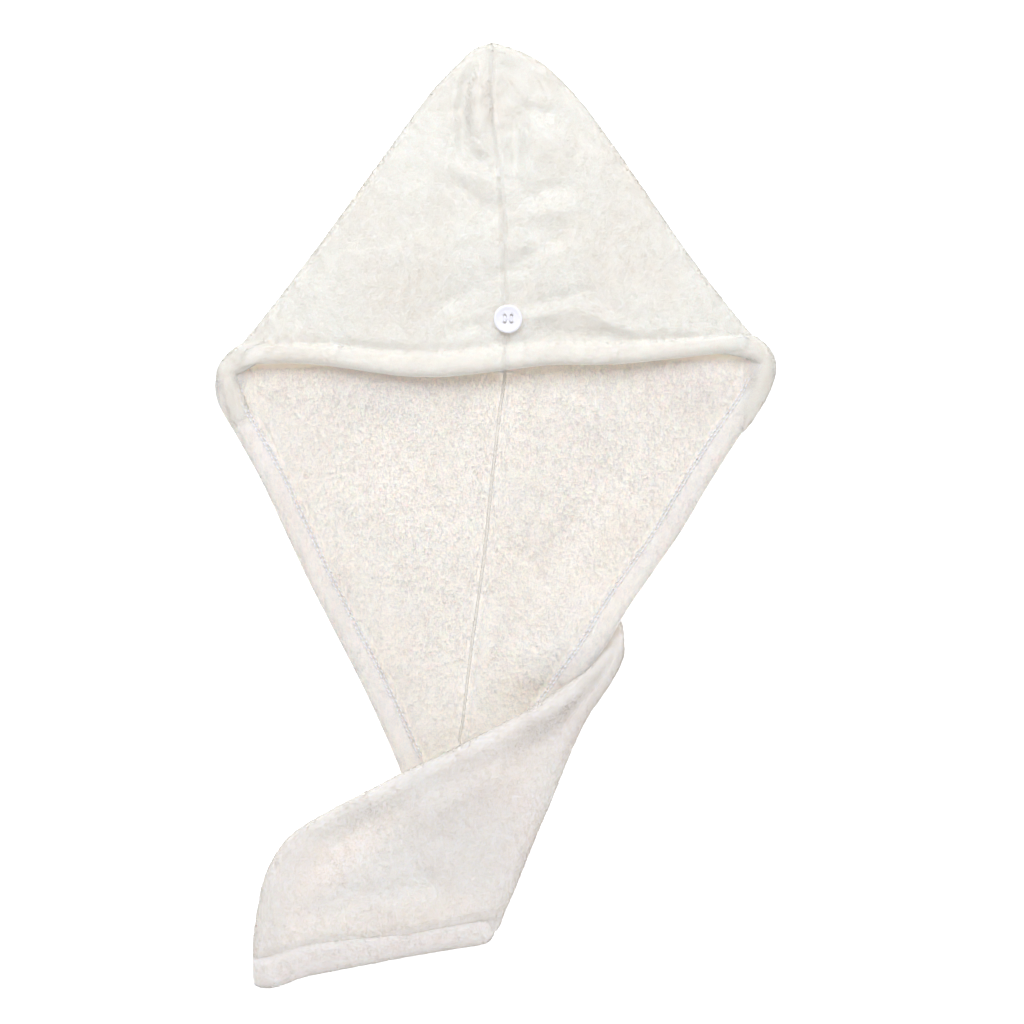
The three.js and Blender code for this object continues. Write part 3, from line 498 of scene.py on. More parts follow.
def flap_grid():
    """Outer and inner points of the tail's flap, from the hidden lip over the folds and the top."""
    position = np.concatenate([spaced(0, 4, 0.11), spaced(4.09, 14, 0.09)])
    left = plan_points(FLAP, 1, position)
    right = plan_points(FLAP, 3, position)
    width = np.linalg.norm(right - left, axis=1)
    along = unit(right - left)
    end = ramp(*FLAP_END, position)
    radius = mix(np.minimum(FOLD, width * FOLD_SHARE), END_HEIGHT / 2, end)
    cloth = np.minimum(CLOTH, radius * CLOTH_SHARE)
    low = np.maximum(0, curve(FLAP, 5, position))
    lip = np.minimum(np.maximum(1, curve(FLAP, 6, position)), width * LEFT_LIP_SHARE)
    right_lip = np.minimum(RIGHT_LIP, width * RIGHT_LIP_SHARE)
    wide = np.minimum(radius * 2, width * WIDE_SHARE)
    outer, inner = [], []

    def put(reach, outer_z, inner_z, inner_reach=None):
        inner_reach = reach if inner_reach is None else inner_reach
        for points, distance, z in ((outer, reach, outer_z), (inner, inner_reach, inner_z)):
            points.append(np.stack([
                left[:, 0] + along[:, 0] * distance, left[:, 1] + along[:, 1] * distance, z], 1))

    for share in LIP_STEPS:
        put(wide + lip * share, low, low + cloth)
    hollow = radius - cloth
    for angle in np.radians(LEFT_TURNS):
        c, s = math.cos(angle), math.sin(angle)
        inner_reach = wide + (wide - cloth) * c
        put(wide + wide * c, low + radius + radius * s, low + radius + hollow * s, inner_reach)
    for index in range(1, TOP_COLUMNS):
        share = index / TOP_COLUMNS
        reach = mix(wide, width - wide, share)
        swell = FLAP_SWELL * math.sin(math.pi * share) ** 2 * (1 - end) * ramp(10, 60, width)
        x = left[:, 0] + along[:, 0] * reach
        y = left[:, 1] + along[:, 1] * reach
        edge_fade = math.sin(math.pi * share)
        dents = (forms_height(TAIL_FORMS, x, y) + FLAP_WAVES * noise(x, y, 24, 9)) * edge_fade * (1 - end)
        valley_fade = (1 - end) * ramp(25, 75, width) * ramp(0, 10, reach - wide)
        valley = VALLEY * np.exp(-(((reach - wide - VALLEY_PLACE) / VALLEY_WIDTH) ** 2)) * valley_fade
        top = low * (1 - ramp(0, 1, share)) + 2 * radius + swell + dents + valley
        put(reach, top, top - cloth)
    for angle in np.radians(RIGHT_TURNS):
        c, s = math.cos(angle), math.sin(angle)
        inner_reach = width - wide + (wide - cloth) * c
        put(width - wide + wide * c, radius + radius * s, radius + hollow * s, inner_reach)
    for share in (0.5, 1):
        put(width - wide - right_lip * share, 0 * radius, cloth)
    outer, inner = np.stack(outer, 1), np.stack(inner, 1)
    crease_line = END_HEM[:, 2] + END_HEM[:, 3] - 2
    for points in (outer, inner):
        past = points[..., 1] - np.interp(points[..., 0], END_HEM[:, 1], crease_line)
        crease = END_CREASE * np.exp(-((past / END_CREASE_WIDTH) ** 2))
        sunk = crease * ramp(*END_CREASE_X, points[..., 0]) + END_DIVE * ramp(0, -END_DIVE_LENGTH, past)
        points[..., 2] -= sunk * np.clip(points[..., 2] / (2 * radius[:, None]), 0, 1) ** 2
    return outer, inner


CAP_STEPS = np.array([0, 0.004, 0.012, 0.03, 0.05, 0.08, 0.12, 0.17, 0.22])  # close rows at a roll's ends
CAP_LENGTH, ROLL_STEP, ROLL_SIDES = 0.28, 0.08, 36
ROLL_WAVES = 0.4


def roll_grid(line, end_round, end_widths, square):
    """Rings round a roll of hem whose centre line, width and height are a table's rows.

    The two end widths are the shares of the width that are left at the roll's two ends.
    """
    last = len(line) - 1
    between = spaced(CAP_LENGTH, last - CAP_LENGTH, ROLL_STEP)
    stops = np.concatenate([CAP_STEPS, between, last - CAP_STEPS[::-1]])
    centre = plan_points(line, 1, stops)
    direction = unit(plan_points(line, 1, stops + 0.02) - plan_points(line, 1, stops - 0.02))
    across = np.stack([-direction[:, 1], direction[:, 0]], 1)
    travel = travelled(centre)
    to_end = np.minimum(travel, travel[-1] - travel)
    closed = np.sqrt(1 - (1 - np.clip(to_end / end_round, 0.03, 1)) ** 2)[:, None]
    turn = np.linspace(0, 2 * math.pi, ROLL_SIDES + 1)[None, :-1]
    c, s = np.cos(turn), np.sin(turn)
    half, low, top = (curve(line, column, stops)[:, None] for column in (3, 4, 5))
    left_over = np.where(travel < travel[-1] / 2, *end_widths)[:, None]
    reach = np.sign(c) * np.abs(c) ** square * half * mix(left_over, 1, closed)
    up = np.sign(s) * np.abs(s) ** square * (top - low) / 2 * closed
    x, y = places_along(centre, across, reach)
    z = (top + low) / 2 + up + ROLL_WAVES * noise(x, y, 20, 4) * ramp(0, 3, up)
    return np.stack([x, y, z], 2)


def grid_steps(points, axis):
    """Steps from each point's neighbour behind to the one ahead; the point stands in for an empty one."""
    p = np.moveaxis(points, axis, 0)
    ahead = np.concatenate([p[1:], p[-1:]])
    behind = np.concatenate([p[:1], p[:-1]])
    step = np.where(np.isnan(ahead), p, ahead) - np.where(np.isnan(behind), p, behind)
    return np.moveaxis(step, 0, axis)


def outward(outer, inner):
    """Normals of the outer grid that point away from the inner one; not-a-number where it is empty."""
    with np.errstate(invalid="ignore"):
        normals = unit(np.cross(grid_steps(outer, 1), grid_steps(outer, 0)))
        flip = (normals * (outer - inner)).sum(2, keepdims=True) < 0
    return np.where(flip, -normals, normals)


def skinned(outer, inner):
    """The ground that carries the pile: both faces drawn in by its depth, and less where they are close."""
    pull = np.minimum(SKIN, np.linalg.norm(outer - inner, axis=2, keepdims=True) * SKIN_SHARE)
    grounds = outer - outward(outer, inner) * pull, inner - outward(inner, outer) * pull
    for ground in grounds:
        ground[..., 2] = np.maximum(ground[..., 2], 0.0)
    return grounds


def mesh_object(name, points, faces, material):
    """A smooth piece from points in millimetres and one array of faces, or a list of such arrays."""
    mesh = bpy.data.meshes.new(name)
    points = np.asarray(points, float) * MM
    corners = [np.asarray(f, np.int32) for f in (faces if isinstance(faces, list) else [faces])]
    mesh.vertices.add(len(points))
    mesh.vertices.foreach_set("co", points.astype(np.float32).ravel())
    loops = np.concatenate([f.ravel() for f in corners])
    totals = np.concatenate([np.full(len(f), f.shape[1], np.int32) for f in corners])
    starts = np.concatenate([[0], np.cumsum(totals)[:-1]]).astype(np.int32)
    mesh.loops.add(len(loops))
    mesh.loops.foreach_set("vertex_index", loops)
    mesh.polygons.add(len(totals))
    mesh.polygons.foreach_set("loop_start", starts)
    mesh.polygons.foreach_set("loop_total", totals)
    mesh.polygons.foreach_set("use_smooth", np.full(len(totals), True))
    mesh.update(calc_edges=True)
    mesh.validate()
    piece = bpy.data.objects.new(name, mesh)
    bpy.context.scene.collection.objects.link(piece)
    piece.data.materials.append(material)
    return piece


def ring_faces(count, sides):
    """Point numbers of rings of points, and the faces between the rings."""
    index = np.arange(count * sides).reshape(count, sides)
    after = np.roll(index, -1, axis=1)
    return index, np.stack([index[:-1], after[:-1], after[1:], index[1:]], 2).reshape(-1, 4)


def shell_object(name, outer, inner, material):
    """Closed mesh round a sheet given by its outer and inner grids; empty places are left out."""
    rows, columns = outer.shape[:2]
    there = ~np.isnan(outer[:, :, 0])
    filled = there[:-1, :-1] & there[:-1, 1:] & there[1:, :-1] & there[1:, 1:]
    index = np.arange(rows * columns).reshape(rows, columns)
    under = index + rows * columns
    j, i = np.nonzero(filled)
    a, b, c, d = index[j, i], index[j, i + 1], index[j + 1, i + 1], index[j + 1, i]
    e, f, g, h = under[j, i], under[j, i + 1], under[j + 1, i + 1], under[j + 1, i]
    padded_fill = np.pad(filled, 1)
    faces = [np.stack([a, b, c, d], 1), np.stack([h, g, f, e], 1)]
    for dj, di, quad in (
        (-1, 0, (e, f, b, a)), (1, 0, (g, h, d, c)), (0, -1, (h, e, a, d)), (0, 1, (f, g, c, b)),
    ):
        bare = ~padded_fill[j + 1 + dj, i + 1 + di]
        faces.append(np.stack(quad, 1)[bare])
    faces = np.concatenate(faces)
    points = np.concatenate([outer.reshape(-1, 3), inner.reshape(-1, 3)])
    used = np.unique(faces)
    renumber = np.full(len(points), -1)
    renumber[used] = np.arange(len(used))
    return weld(mesh_object(name, points[used], renumber[faces], material))


def weld(piece, distance=0.00002):
    """Joins points that lie together, drops empty faces and turns all faces outward."""
    work = bmesh.new()
    work.from_mesh(piece.data)
    bmesh.ops.remove_doubles(work, verts=work.verts, dist=distance)
    bmesh.ops.dissolve_degenerate(work, edges=work.edges, dist=distance)
    if work.calc_volume(signed=True) < 0:
        bmesh.ops.reverse_faces(work, faces=work.faces)
    work.to_mesh(piece.data)
    work.free()
    piece.data.update()
    return piece


DENSITY = 1.7  # tufts in a square millimetre


def pile_points(points, normals, pile):
    """Places spread evenly over a grid's area, with their normals and lengths of pile."""
    a, b, c, d = points[:-1, :-1], points[:-1, 1:], points[1:, 1:], points[1:, :-1]
    area = np.nan_to_num(np.linalg.norm(np.cross(c - a, d - b), axis=2) / 2)
    total = np.cumsum(area.ravel())
    count = int(total[-1] * DENSITY)
    mark = (np.arange(count) + rng.random(count)) / count * total[-1]
    cell = np.searchsorted(total, mark)
    j, i = np.unravel_index(np.minimum(cell, area.size - 1), area.shape)
    u, v = rng.random(count)[:, None], rng.random(count)[:, None]

    def blend(grid):
        return (
            (grid[j, i] * (1 - u) + grid[j, i + 1] * u) * (1 - v)
            + (grid[j + 1, i] * (1 - u) + grid[j + 1, i + 1] * u) * v
        )

    place, normal, tall = blend(points), unit(blend(normals)), blend(pile[..., None])
    good = ~np.isnan(place).any(1) & ~np.isnan(normal).any(1)
    return place[good], normal[good], tall[good]


CLUMP_SIZE, WIDE_CLUMP_SIZE, WIDE_CLUMP_SHARE = 4.2, 11, 0.6
DOWN_LEAN = 0.25  # the pile leans a little towards the tail
TUFT_RADIUS, TUFT_ROOT = 0.6, 0.35  # a tuft's foot and how deep it stands in the ground
LOWEST_TUFT = 0.05
CLUMP_SHADE = 0.05  # how much the clumps turn the tufts' shading normals
THIRD = 2 * math.pi / 3  # of a turn
TUFTS = {"length": 1.5, "lean": 0.35, "jumble": 0.28, "spread": 0.42}
SHORT_TUFTS = {"length": 1.35, "lean": 0.25, "jumble": 0.15, "spread": 0.25}


def pile_object(name, place, normal, share, material, seed, length, lean, jumble, spread):
    """Short tufts of pile that stand on the given places and lean in soft clumps.

    The jumble is how unevenly single tufts lean, and the spread how far their shading turns outward.
    """
    x, y, z = place[:, 0], place[:, 1], place[:, 2]
    count = len(place)
    wide_x = WIDE_CLUMP_SHARE * noise(x, y, WIDE_CLUMP_SIZE, seed + 1)
    wide_y = WIDE_CLUMP_SHARE * noise(x, y, WIDE_CLUMP_SIZE, seed + 3)
    clump_x = noise(x, y + z, CLUMP_SIZE, seed) + wide_x
    clump_y = noise(x, y + z, CLUMP_SIZE, seed + 2) + wide_y - DOWN_LEAN
    jitter = rng.normal(0, jumble, (count, 3))
    clump = np.stack([clump_x, clump_y, 0 * clump_x], 1)
    sway = clump * lean + jitter
    sway -= (sway * normal).sum(1, keepdims=True) * normal
    uneven = 0.8 + 0.2 * noise(x, y + z, 3.0, seed + 4) + 0.25 * rng.random(count)
    tall = length * uneven[:, None] * share
    tip_way = unit(normal + sway)
    helper = np.where(np.abs(normal[:, 2:]) > 0.8, [[1.0, 0, 0]], [[0, 0, 1.0]])
    first = unit(np.cross(normal, helper))
    second = np.cross(normal, first)
    spin = rng.random(count)[:, None] * 2 * math.pi
    root = place - normal * (SKIN + TUFT_ROOT)
    radius = TUFT_RADIUS * (0.8 + 0.4 * rng.random(count))[:, None]
    sides = []
    for third in range(3):
        angle = spin + third * THIRD
        sides.append(first * np.cos(angle) + second * np.sin(angle))
    corners = [root + side * radius for side in sides]
    tip = root + tip_way * tall
    points = np.stack([*corners, tip], 1).reshape(-1, 3)
    points[:, 2] = np.maximum(points[:, 2], LOWEST_TUFT)
    start = np.arange(count)[:, None] * 4
    # The face under a tuft's lean is hidden and left out: the other two are beside it
    lean_angle = np.arctan2((sway * second).sum(1), (sway * first).sum(1))[:, None]
    hidden = np.round((lean_angle - spin) / THIRD - 0.5).astype(int)
    faces = []
    for beside in (1, 2):
        corner = (hidden + beside) % 3
        faces.append(np.concatenate([start + corner, start + (corner + 1) % 3, start + 3], 1))
    faces = np.concatenate(faces)
    piece = mesh_object(name, points, faces, material)
    soft = [normal + side * spread for side in sides]
    soft = np.stack([*soft, normal + tip_way * spread], 1) + CLUMP_SHADE * clump[:, None]
    piece.data.normals_split_custom_set_from_vertices(unit(soft.reshape(-1, 3)))
    return piece


def along_line(at, travel, values):
    """Three columns of values where the line's length is at."""
    return np.stack([np.interp(at, travel, values[:, k]) for k in range(3)], -1)


def stitch_rows(name, lines, material, length=3.0, gap=0.8, width=0.95, height=0.7):
    """Flat rounded stitches along lines of points with normals."""
    turn = np.radians([0, 60, 120, 180, 240, 300])
    sections_at = np.array([0, 0.12, 0.5, 0.88, 1])
    swell = np.array([0.25, 0.8, 1, 0.8, 0.25])[:, None, None]
    sink = np.array([-0.3, 0.2, 0.4, 0.2, -0.3])[:, None]
    rings = []
    for points, normals in lines:
        travel = travelled(points)
        for start in np.arange(0, travel[-1] - length, length + gap):
            at = start + sections_at * length
            middle = along_line(at, travel, points)
            up = unit(along_line(at, travel, normals))
            side = np.cross(up, unit(middle[-1] - middle[0]))
            rings.append((middle + up * sink)[:, None] + swell * (
                side[:, None] * np.cos(turn)[None, :, None] * width / 2
                + up[:, None] * np.sin(turn)[None, :, None] * height / 2
            ))
    rings = np.stack(rings)
    count, sections, sides = rings.shape[:3]
    base = np.arange(count)[:, None] * sections * sides
    faces = []
    for section in range(sections - 1):
        for k in range(sides):
            a, b = section * sides + k, section * sides + (k + 1) % sides
            faces.append(base + [a, b, b + sides, a + sides])
    ring = np.arange(sides)
    caps = [base + ring[::-1], base + (sections - 1) * sides + ring]
    return mesh_object(name, rings.reshape(-1, 3), [np.concatenate(faces), *caps], material)


# Materials
MIX_SHARE, MIX_LOW, MIX_HIGH, MIX_RESULT = 0, 6, 7, 2  # a colour mix node's sockets


def set_inputs(node, values):
    """Sets a node's inputs by their names, with _ for each space."""
    for socket, value in values.items():
        node.inputs[socket.replace("_", " ")].default_value = value


def principled(name, color, roughness, **sockets):
    """A plain material and its shader."""
    material = bpy.data.materials.new(name)
    material.use_nodes = True
    shader = material.node_tree.nodes["Principled BSDF"]
    set_inputs(shader, {"Base_Color": (*color, 1), "Roughness": roughness, **sockets})
    material.diffuse_color = (*color, 1)
    return material, shader


def fleece_material(name, light, fibre_shade, blotch, depth_weight=0.5, sheen=0.25):
    """Cream fleece: a light tint with soft blotches, a painted shade in the hollows between the fibres, a
    faint warm glow that paints light into its shade, and a fine bump.
    """
    # The faint warm emission is painted light: a glow that lifts and warms the fleece where it lies in
    # shade.
    material, shader = principled(
        name, light, 0.95, Sheen_Weight=sheen, Sheen_Roughness=0.6, Specular_IOR_Level=0.15,
        Subsurface_Weight=depth_weight, Subsurface_Scale=0.006, Subsurface_Radius=(1.0, 0.7, 0.5),
        Emission_Color=(1, 0.9, 0.8, 1), Emission_Strength=0.08)
    links = material.node_tree.links

    def add(kind, **values):
        node = material.node_tree.nodes.new("ShaderNode" + kind)
        set_inputs(node, values)
        return node

    def mix_colours(share, high):
        node = add("Mix")
        node.data_type = "RGBA"
        node.inputs[MIX_HIGH].default_value = (*high, 1)
        links.new(share, node.inputs[MIX_SHARE])
        return node

    place = add("TexCoord")
    soft = add("TexNoise", Scale=17, Detail=3)
    links.new(place.outputs["Object"], soft.inputs["Vector"])
    spread = add("MapRange", From_Min=0.4, From_Max=0.7)
    links.new(soft.outputs["Fac"], spread.inputs["Value"])
    tint = mix_colours(spread.outputs["Result"], blotch)
    tint.inputs[MIX_LOW].default_value = (*light, 1)
    fine = add("TexNoise", Scale=420, Detail=4)
    links.new(place.outputs["Object"], fine.inputs["Vector"])
    # Painted shade: the tint darkens where the fine bump is low, in the hollows between the fibres.
    depth = add("MapRange", From_Min=0.3, From_Max=0.6, To_Min=1, To_Max=0)
    links.new(fine.outputs["Fac"], depth.inputs["Value"])
    fibre_shaded = mix_colours(depth.outputs["Result"], fibre_shade)
    links.new(tint.outputs[MIX_RESULT], fibre_shaded.inputs[MIX_LOW])
    links.new(fibre_shaded.outputs[MIX_RESULT], shader.inputs["Base Color"])
    bump = add("Bump", Strength=0.35, Distance=0.0006)
    links.new(fine.outputs["Fac"], bump.inputs["Height"])
    links.new(bump.outputs["Normal"], shader.inputs["Normal"])
    return material


# The tints of each fleece: light, painted shade between the fibres, blotch
inner_fleece = fleece_material(
    "inner_fleece", (0.915, 0.88, 0.815), (0.88, 0.84, 0.77), (0.915, 0.87, 0.795))
tail_fleece = fleece_material(
    "tail_fleece", (0.94, 0.915, 0.89), (0.90, 0.86, 0.83), (0.925, 0.885, 0.86))
hood_pile_look = fleece_material(
    "hood_pile", (0.985, 0.96, 0.875), (0.96, 0.93, 0.838), (0.925, 0.845, 0.745), depth_weight=0,
    sheen=0.3)
inner_pile_look = fleece_material(
    "inner_pile", (0.82, 0.825, 0.822), (0.81, 0.803, 0.787), (0.824, 0.803, 0.778), depth_weight=0)
tail_pile_look = fleece_material(
    "tail_pile", (0.995, 0.945, 0.855), (0.98, 0.91, 0.815), (0.955, 0.85, 0.765), depth_weight=0)
# The end hem's pile is a darker copy of the tail's pile: painted shade that holds the hem to the flap's
# tone.
shaded_end_pile_look = fleece_material(
    "end_pile", (0.94, 0.90, 0.83), (0.92, 0.87, 0.80), (0.91, 0.845, 0.775), depth_weight=0)
thread_look, _ = principled("thread_look", (0.95, 0.94, 0.975), 0.6, Sheen_Weight=0.2)
# The seam's stitches are a darker, browner tone than the thread: painted shade of the groove along the
# seam.
seam_shade_look, _ = principled("seam_shade_look", (0.84, 0.78, 0.68), 0.95, Sheen_Weight=0.2)
button_look, _ = principled(
    "button_look", (0.93, 0.905, 0.955), 0.35, Subsurface_Weight=0.3, Subsurface_Scale=0.003,
    Coat_Weight=0.2, Coat_Roughness=0.2, Subsurface_Radius=(1, 1, 1))

# The two panels and the tail's flap, each a closed sheet of cloth
LEFT_END, RIGHT_END = -266, -166  # seam stations at which the panels end
left_outer, left_inner, left_pile, hood_rows = panel_grid(LEFT_EDGE, -1, LEFT_END, True)
right_outer, right_inner, right_pile, _ = panel_grid(RIGHT_EDGE, 1, RIGHT_END, False)
flap_outer, flap_inner = flap_grid()
pieces = {}
for name, outer, inner, look in (
    ("towel_left", left_outer, left_inner, inner_fleece),
    ("towel_right", right_outer, right_inner, inner_fleece),
    ("towel_tail", flap_outer, flap_inner, tail_fleece),
):
    pieces[name] = shell_object(name, *skinned(outer, inner), look)


def pile_over(name, outer, inner, pile, look, seed, tufts):
    """Adds the pile on a grid's outer face."""
    place, normal, share = pile_points(outer, outward(outer, inner), pile)
    pieces[name] = pile_object(name, place, normal, share, look, seed, **tufts)


# Pile on the faces that show: the rows and columns of each part, then the pieces
hood_part = slice(0, hood_rows), slice(0, FRONT_COLUMNS + 9)
open_part = slice(hood_rows - 8, None), slice(NOSE_COLUMN, None)
flap_part = slice(None), slice(len(LIP_STEPS), flap_outer.shape[1] - 5)
flap_pile = np.ones(flap_outer.shape[:2])
for name, outer, inner, pile, part, look, seed, tufts in (
    ("pile_hood_left", left_outer, left_inner, left_pile, hood_part, hood_pile_look, 20, TUFTS),
    ("pile_hood_right", right_outer, right_inner, right_pile, hood_part, hood_pile_look, 30, TUFTS),
    ("pile_inner_left", left_inner, left_outer, left_pile, open_part, inner_pile_look, 40, SHORT_TUFTS),
    ("pile_inner_right", right_inner, right_outer, right_pile, open_part, inner_pile_look, 50, SHORT_TUFTS),
    ("pile_tail", flap_outer, flap_inner, flap_pile, flap_part, tail_pile_look, 60, TUFTS),
):
    pile_over(name, outer[part], inner[part], pile[part], look, seed, tufts)


def roll_pieces(name, line, look, pile_look, seed, end_round=12, end_widths=(0.55, 0.55), square=1.0):
    """Adds a roll of hem and its pile; end_round is the length in which its ends close."""
    rings = roll_grid(line, end_round, end_widths, square)
    centre = rings.mean(1, keepdims=True)
    way = rings - centre
    ground = rings - way / np.maximum(np.linalg.norm(way, axis=2, keepdims=True), 1) * SKIN
    ground[..., 2] = np.maximum(ground[..., 2], 0)
    index, quads = ring_faces(*rings.shape[:2])
    faces = [quads, index[:1, ::-1], index[-1:]]
    pieces["towel_" + name] = weld(mesh_object("towel_" + name, ground.reshape(-1, 3), faces, look))
    around = np.concatenate([rings, rings[:, :1]], 1)
    full = np.ones(around.shape[:2])
    pile_over("pile_" + name, around, centre + 0 * around, full, pile_look, seed, TUFTS)


roll_pieces("end_hem", END_HEM, tail_fleece, shaded_end_pile_look, 70, 11, (0.75, 0.2), 0.85)
roll_pieces("corner_left", LEFT_CORNER, inner_fleece, hood_pile_look, 80)
roll_pieces("corner_right", RIGHT_CORNER, inner_fleece, hood_pile_look, 90)

# Button with a raised rim and four holes, and its thread: radius, height
BUTTON_PROFILE = [
    (0, 0), (8.2, 0), (9.2, 0.25), (9.8, 0.8), (10, 1.5), (9.95, 2.3), (9.6, 2.9), (9.0, 3.2), (8.2, 3.1),
    (7.4, 2.65), (6.7, 2.25), (5.8, 2.1), (0, 2.05),
]


def lathe(name, rows, material, sides=64):
    """A round solid from rows of radius and height, whose first and last rows lie on the axis."""
    turn = np.linspace(0, 2 * math.pi, sides, endpoint=False)
    rings = [np.stack([r * np.cos(turn), r * np.sin(turn), 0 * turn + z], 1) for r, z in rows[1:-1]]
    points = np.concatenate([[(0, 0, rows[0][1])], *rings, [(0, 0, rows[-1][1])]])
    index, quads = ring_faces(len(rings), sides)
    first, last = index[0] + 1, index[-1] + 1
    caps = np.concatenate([
        np.stack([0 * first, np.roll(first, -1), first], 1),
        np.stack([last, np.roll(last, -1), 0 * last + len(points) - 1], 1)])
    return mesh_object(name, points, [quads + 1, caps], material)


DRILL_LOW, DRILL_HIGH, DRILL_SIDES = -3, 6, 24
drill_profile = [(0, DRILL_LOW), (HOLE_RADIUS, DRILL_LOW), (HOLE_RADIUS, DRILL_HIGH), (0, DRILL_HIGH)]
button = lathe("sewn_button", BUTTON_PROFILE, button_look)
drills = []
for index, (side_x, side_y) in enumerate([(-1, -1), (1, -1), (1, 1), (-1, 1)]):
    drill = lathe(f"drill_{index}", drill_profile, button_look, DRILL_SIDES)
    drill.location = (side_x * HOLE_OFFSET * MM, side_y * HOLE_OFFSET * MM, 0)
    drills.append(drill)
    cut = button.modifiers.new(f"hole_{index}", "BOOLEAN")
    cut.operation, cut.object, cut.solver = "DIFFERENCE", drill, "EXACT"
bpy.context.view_layer.update()
cut_mesh = bpy.data.meshes.new_from_object(button.evaluated_get(bpy.context.evaluated_depsgraph_get()))
button.modifiers.clear()
button.data = cut_mesh
for drill in drills:
    bpy.data.objects.remove(drill)
button.location = (BUTTON_X * MM, BUTTON_Y * MM, (BUTTON_SEAT + SHANK) * MM)
pieces["sewn_button"] = button


def tube(path, radius, sides):
    """Points, side faces and two end faces of a round tube along a path."""
    way = unit(np.gradient(path, axis=0))
    first = unit(np.cross(way, np.array([0.3, 0.9, 0.1])))
    second = np.cross(way, first)
    turn = np.linspace(0, 2 * math.pi, sides, endpoint=False)
    rings = path[:, None] + radius * (
        first[:, None] * np.cos(turn)[None, :, None] + second[:, None] * np.sin(turn)[None, :, None])
    index, quads = ring_faces(len(path), sides)
    return rings.reshape(-1, 3), quads[:, [0, 3, 2, 1]], index[:1], index[-1:, ::-1]


STRAND_OFFSET, STRAND_RADIUS, STRAND_SIDES = 0.32, 0.33, 8
FACE_HEIGHT = 2.1  # height of the button's dished face
THREAD_BOW, THREAD_DIP = 0.55, 2.2  # how the thread bows over the face and dips into the holes
FOOT_SHARE, FOOT_DEPTH = 0.8, 0.5  # where the thread's feet stand in the cloth

thread_points, thread_quads, thread_caps, offset = [], [], [], 0
button_top = BUTTON_SEAT + SHANK + FACE_HEIGHT
for side in (-1, 1):
    for strand in (-STRAND_OFFSET, STRAND_OFFSET):
        strand_x = BUTTON_X + side * HOLE_OFFSET + strand
        span = np.linspace(-1, 1, 25)
        strand_y = BUTTON_Y + HOLE_OFFSET * span
        bow = button_top + THREAD_BOW * (1 - span**6) - THREAD_DIP * np.abs(span) ** 24
        loop = np.stack([strand_x + 0 * span, strand_y, bow], 1)
        steps = np.linspace(0, 1, 6)[1:, None]
        foot = np.array([strand_x, BUTTON_Y, BUTTON_SEAT - FOOT_DEPTH])
        apart = np.array([0, HOLE_OFFSET * FOOT_SHARE, 0])
        down = loop[-1] + steps * (foot + apart - loop[-1])
        up = loop[0] + steps * (foot - apart - loop[0])
        path = np.concatenate([up[::-1], loop, down])
        points, quads, first_cap, last_cap = tube(path, STRAND_RADIUS, STRAND_SIDES)
        thread_points.append(points)
        thread_quads.append(quads + offset)
        thread_caps += [first_cap + offset, last_cap + offset]
        offset += len(points)
thread_faces = [np.concatenate(thread_quads), *thread_caps]
pieces["sewing_thread"] = mesh_object(
    "sewing_thread", np.concatenate(thread_points), thread_faces, thread_look)

# Cover stitching in two rows along the inner edge of each side hem, and the seam's stitches inside, drawn
# darker and browner than the thread as painted shade of the seam's groove
STITCH_INSETS = ((16.6, 18.2), (18.8, 20.4))  # a row's distance from the left and from the right edge
LEFT_STITCH_END, RIGHT_STITCH_END = -172, -150  # y at the seam where the hems go under the flap
SEAM_STITCH_DEPTH = 0.6


def hem_line(inner, outer, inset, row_start, row_end):
    """A line along the open rows of a panel at a distance from its outer edge."""
    points, normals = [], []
    directions = outward(inner, outer)
    for row in range(row_start, row_end):
        line = inner[row, NOSE_COLUMN:]
        travel = travelled(line[:, :2])
        points.append(along_line(inset, travel, line))
        normals.append(along_line(inset, travel, directions[row, NOSE_COLUMN:]))
    return np.array(points), np.array(normals)


left_last = int(np.nonzero(left_inner[:, -1, 1] > LEFT_STITCH_END)[0][-1])
right_last = int(np.nonzero(right_inner[:, -1, 1] > RIGHT_STITCH_END)[0][-1])
lines = []
for left_inset, right_inset in STITCH_INSETS:
    lines.append(hem_line(left_inner, left_outer, left_inset, hood_rows + 3, left_last))
    lines.append(hem_line(right_inner, right_outer, right_inset, hood_rows + 3, right_last))
pieces["hem_stitches"] = stitch_rows("hem_stitches", lines, thread_look)
seam_points = right_inner[hood_rows - 6:right_last + 12, -1] - np.array([0, 0, SEAM_STITCH_DEPTH])
seam_up = np.tile([0.0, 0.0, 1.0], (len(seam_points), 1))
# The seam's stitches overlap into one strip along the seam: the stitches are real, their darker colour is
# painted shade of the groove.
pieces["seam_stitches_and_shade"] = stitch_rows(
    "seam_stitches_and_shade", [(seam_points, seam_up)], seam_shade_look, length=7.0, gap=-2.4, width=2.2, height=0.3)

# What the pieces stand for, and their finishes: node, finish, names
STANDS_FOR = (
    ("left_panel", "fleece", (
        "towel_left", "towel_corner_left", "pile_hood_left", "pile_inner_left", "pile_corner_left")),
    ("right_panel", "fleece", (
        "towel_right", "towel_corner_right", "pile_hood_right", "pile_inner_right", "pile_corner_right",
        "towel_tail", "towel_end_hem", "pile_tail", "pile_end_hem")),
    ("button", "button_plastic", ("sewn_button",)),
    ("button_thread", "sewing_thread", ("sewing_thread",)),
    (None, "sewing_thread", ("hem_stitches", "seam_stitches_and_shade")),
)
stands_for = {name: (node, finish) for node, finish, names in STANDS_FOR for name in names}
for name, piece in pieces.items():
    node, finish = stands_for[name]
    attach(piece, "root")
    if node:
        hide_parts(node)

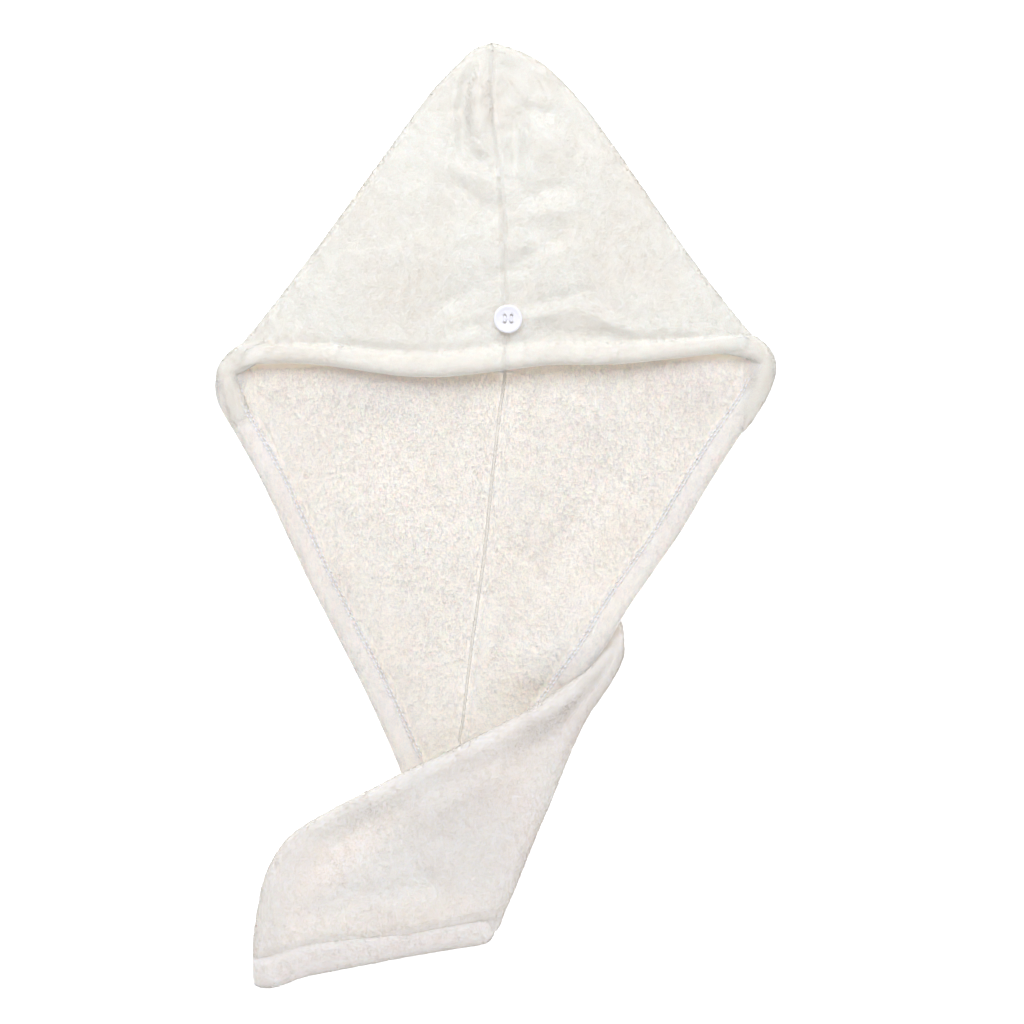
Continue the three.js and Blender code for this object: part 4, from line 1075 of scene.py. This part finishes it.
# Floor, light and camera
floor_look, _ = principled(
    "floor_look", (0.95, 0.95, 0.95), 0.9, Emission_Color=(1, 1, 1, 1), Emission_Strength=0.6)
FLOOR_SIZE, FLOOR_DEPTH = 12, 0.0005
bpy.ops.mesh.primitive_plane_add(size=FLOOR_SIZE, location=(0, 0, -FLOOR_DEPTH))
floor = bpy.context.object
floor.name = "floor"
floor.data.materials.append(floor_look)

world = bpy.data.worlds.new("studio")
bpy.context.scene.world = world
world.use_nodes = True
set_inputs(world.node_tree.nodes["Background"], {"Color": (0.925, 0.946, 0.985, 1), "Strength": 0.45})


def area_light(name, place, size, power, color):
    """A soft rectangular light that faces the middle of the floor."""
    data = bpy.data.lights.new(name, "AREA")
    data.shape = "RECTANGLE"
    data.size, data.size_y = size
    data.energy = power
    data.color = color
    light = bpy.data.objects.new(name, data)
    bpy.context.scene.collection.objects.link(light)
    light.location = place
    light.rotation_euler = (-Vector(place)).to_track_quat("-Z", "Y").to_euler()


# Lights: name, place, width and height, power, colour
for light_row in (
    ("fill", (0.1, -1.5, 1.0), (1.2, 0.8), 6.5, (0.92, 0.94, 1)),
    ("key", (-0.15, 1.12, 1.5), (1.6, 1.3), 23.8, (0.908, 0.94, 1)),
    ("side_left", (-1.3, 0.8, 0.75), (1, 1), 3.2, (0.91, 0.943, 1)),
    ("side_right", (1.3, 0.8, 0.75), (1, 1), 4.25, (0.91, 0.943, 1)),
):
    area_light(*light_row)

CAMERA_HEIGHT = 2.6
CLOTH_LEVEL = 0.012  # height at which the picture is FRAME_WIDTH wide
FRAME_WIDTH = 0.7168
PICTURE_CENTRE = (0.01155, 0.00245)  # where the middle of the photograph lies
SENSOR_WIDTH = 36
camera_data = bpy.data.cameras.new("camera")
camera_data.sensor_width = SENSOR_WIDTH
camera_data.lens = SENSOR_WIDTH * (CAMERA_HEIGHT - CLOTH_LEVEL) / FRAME_WIDTH
camera = bpy.data.objects.new("camera", camera_data)
bpy.context.scene.collection.objects.link(camera)
camera.location = (*PICTURE_CENTRE, CAMERA_HEIGHT)
bpy.context.scene.camera = camera
bpy.context.scene.view_settings.view_transform = "Standard"
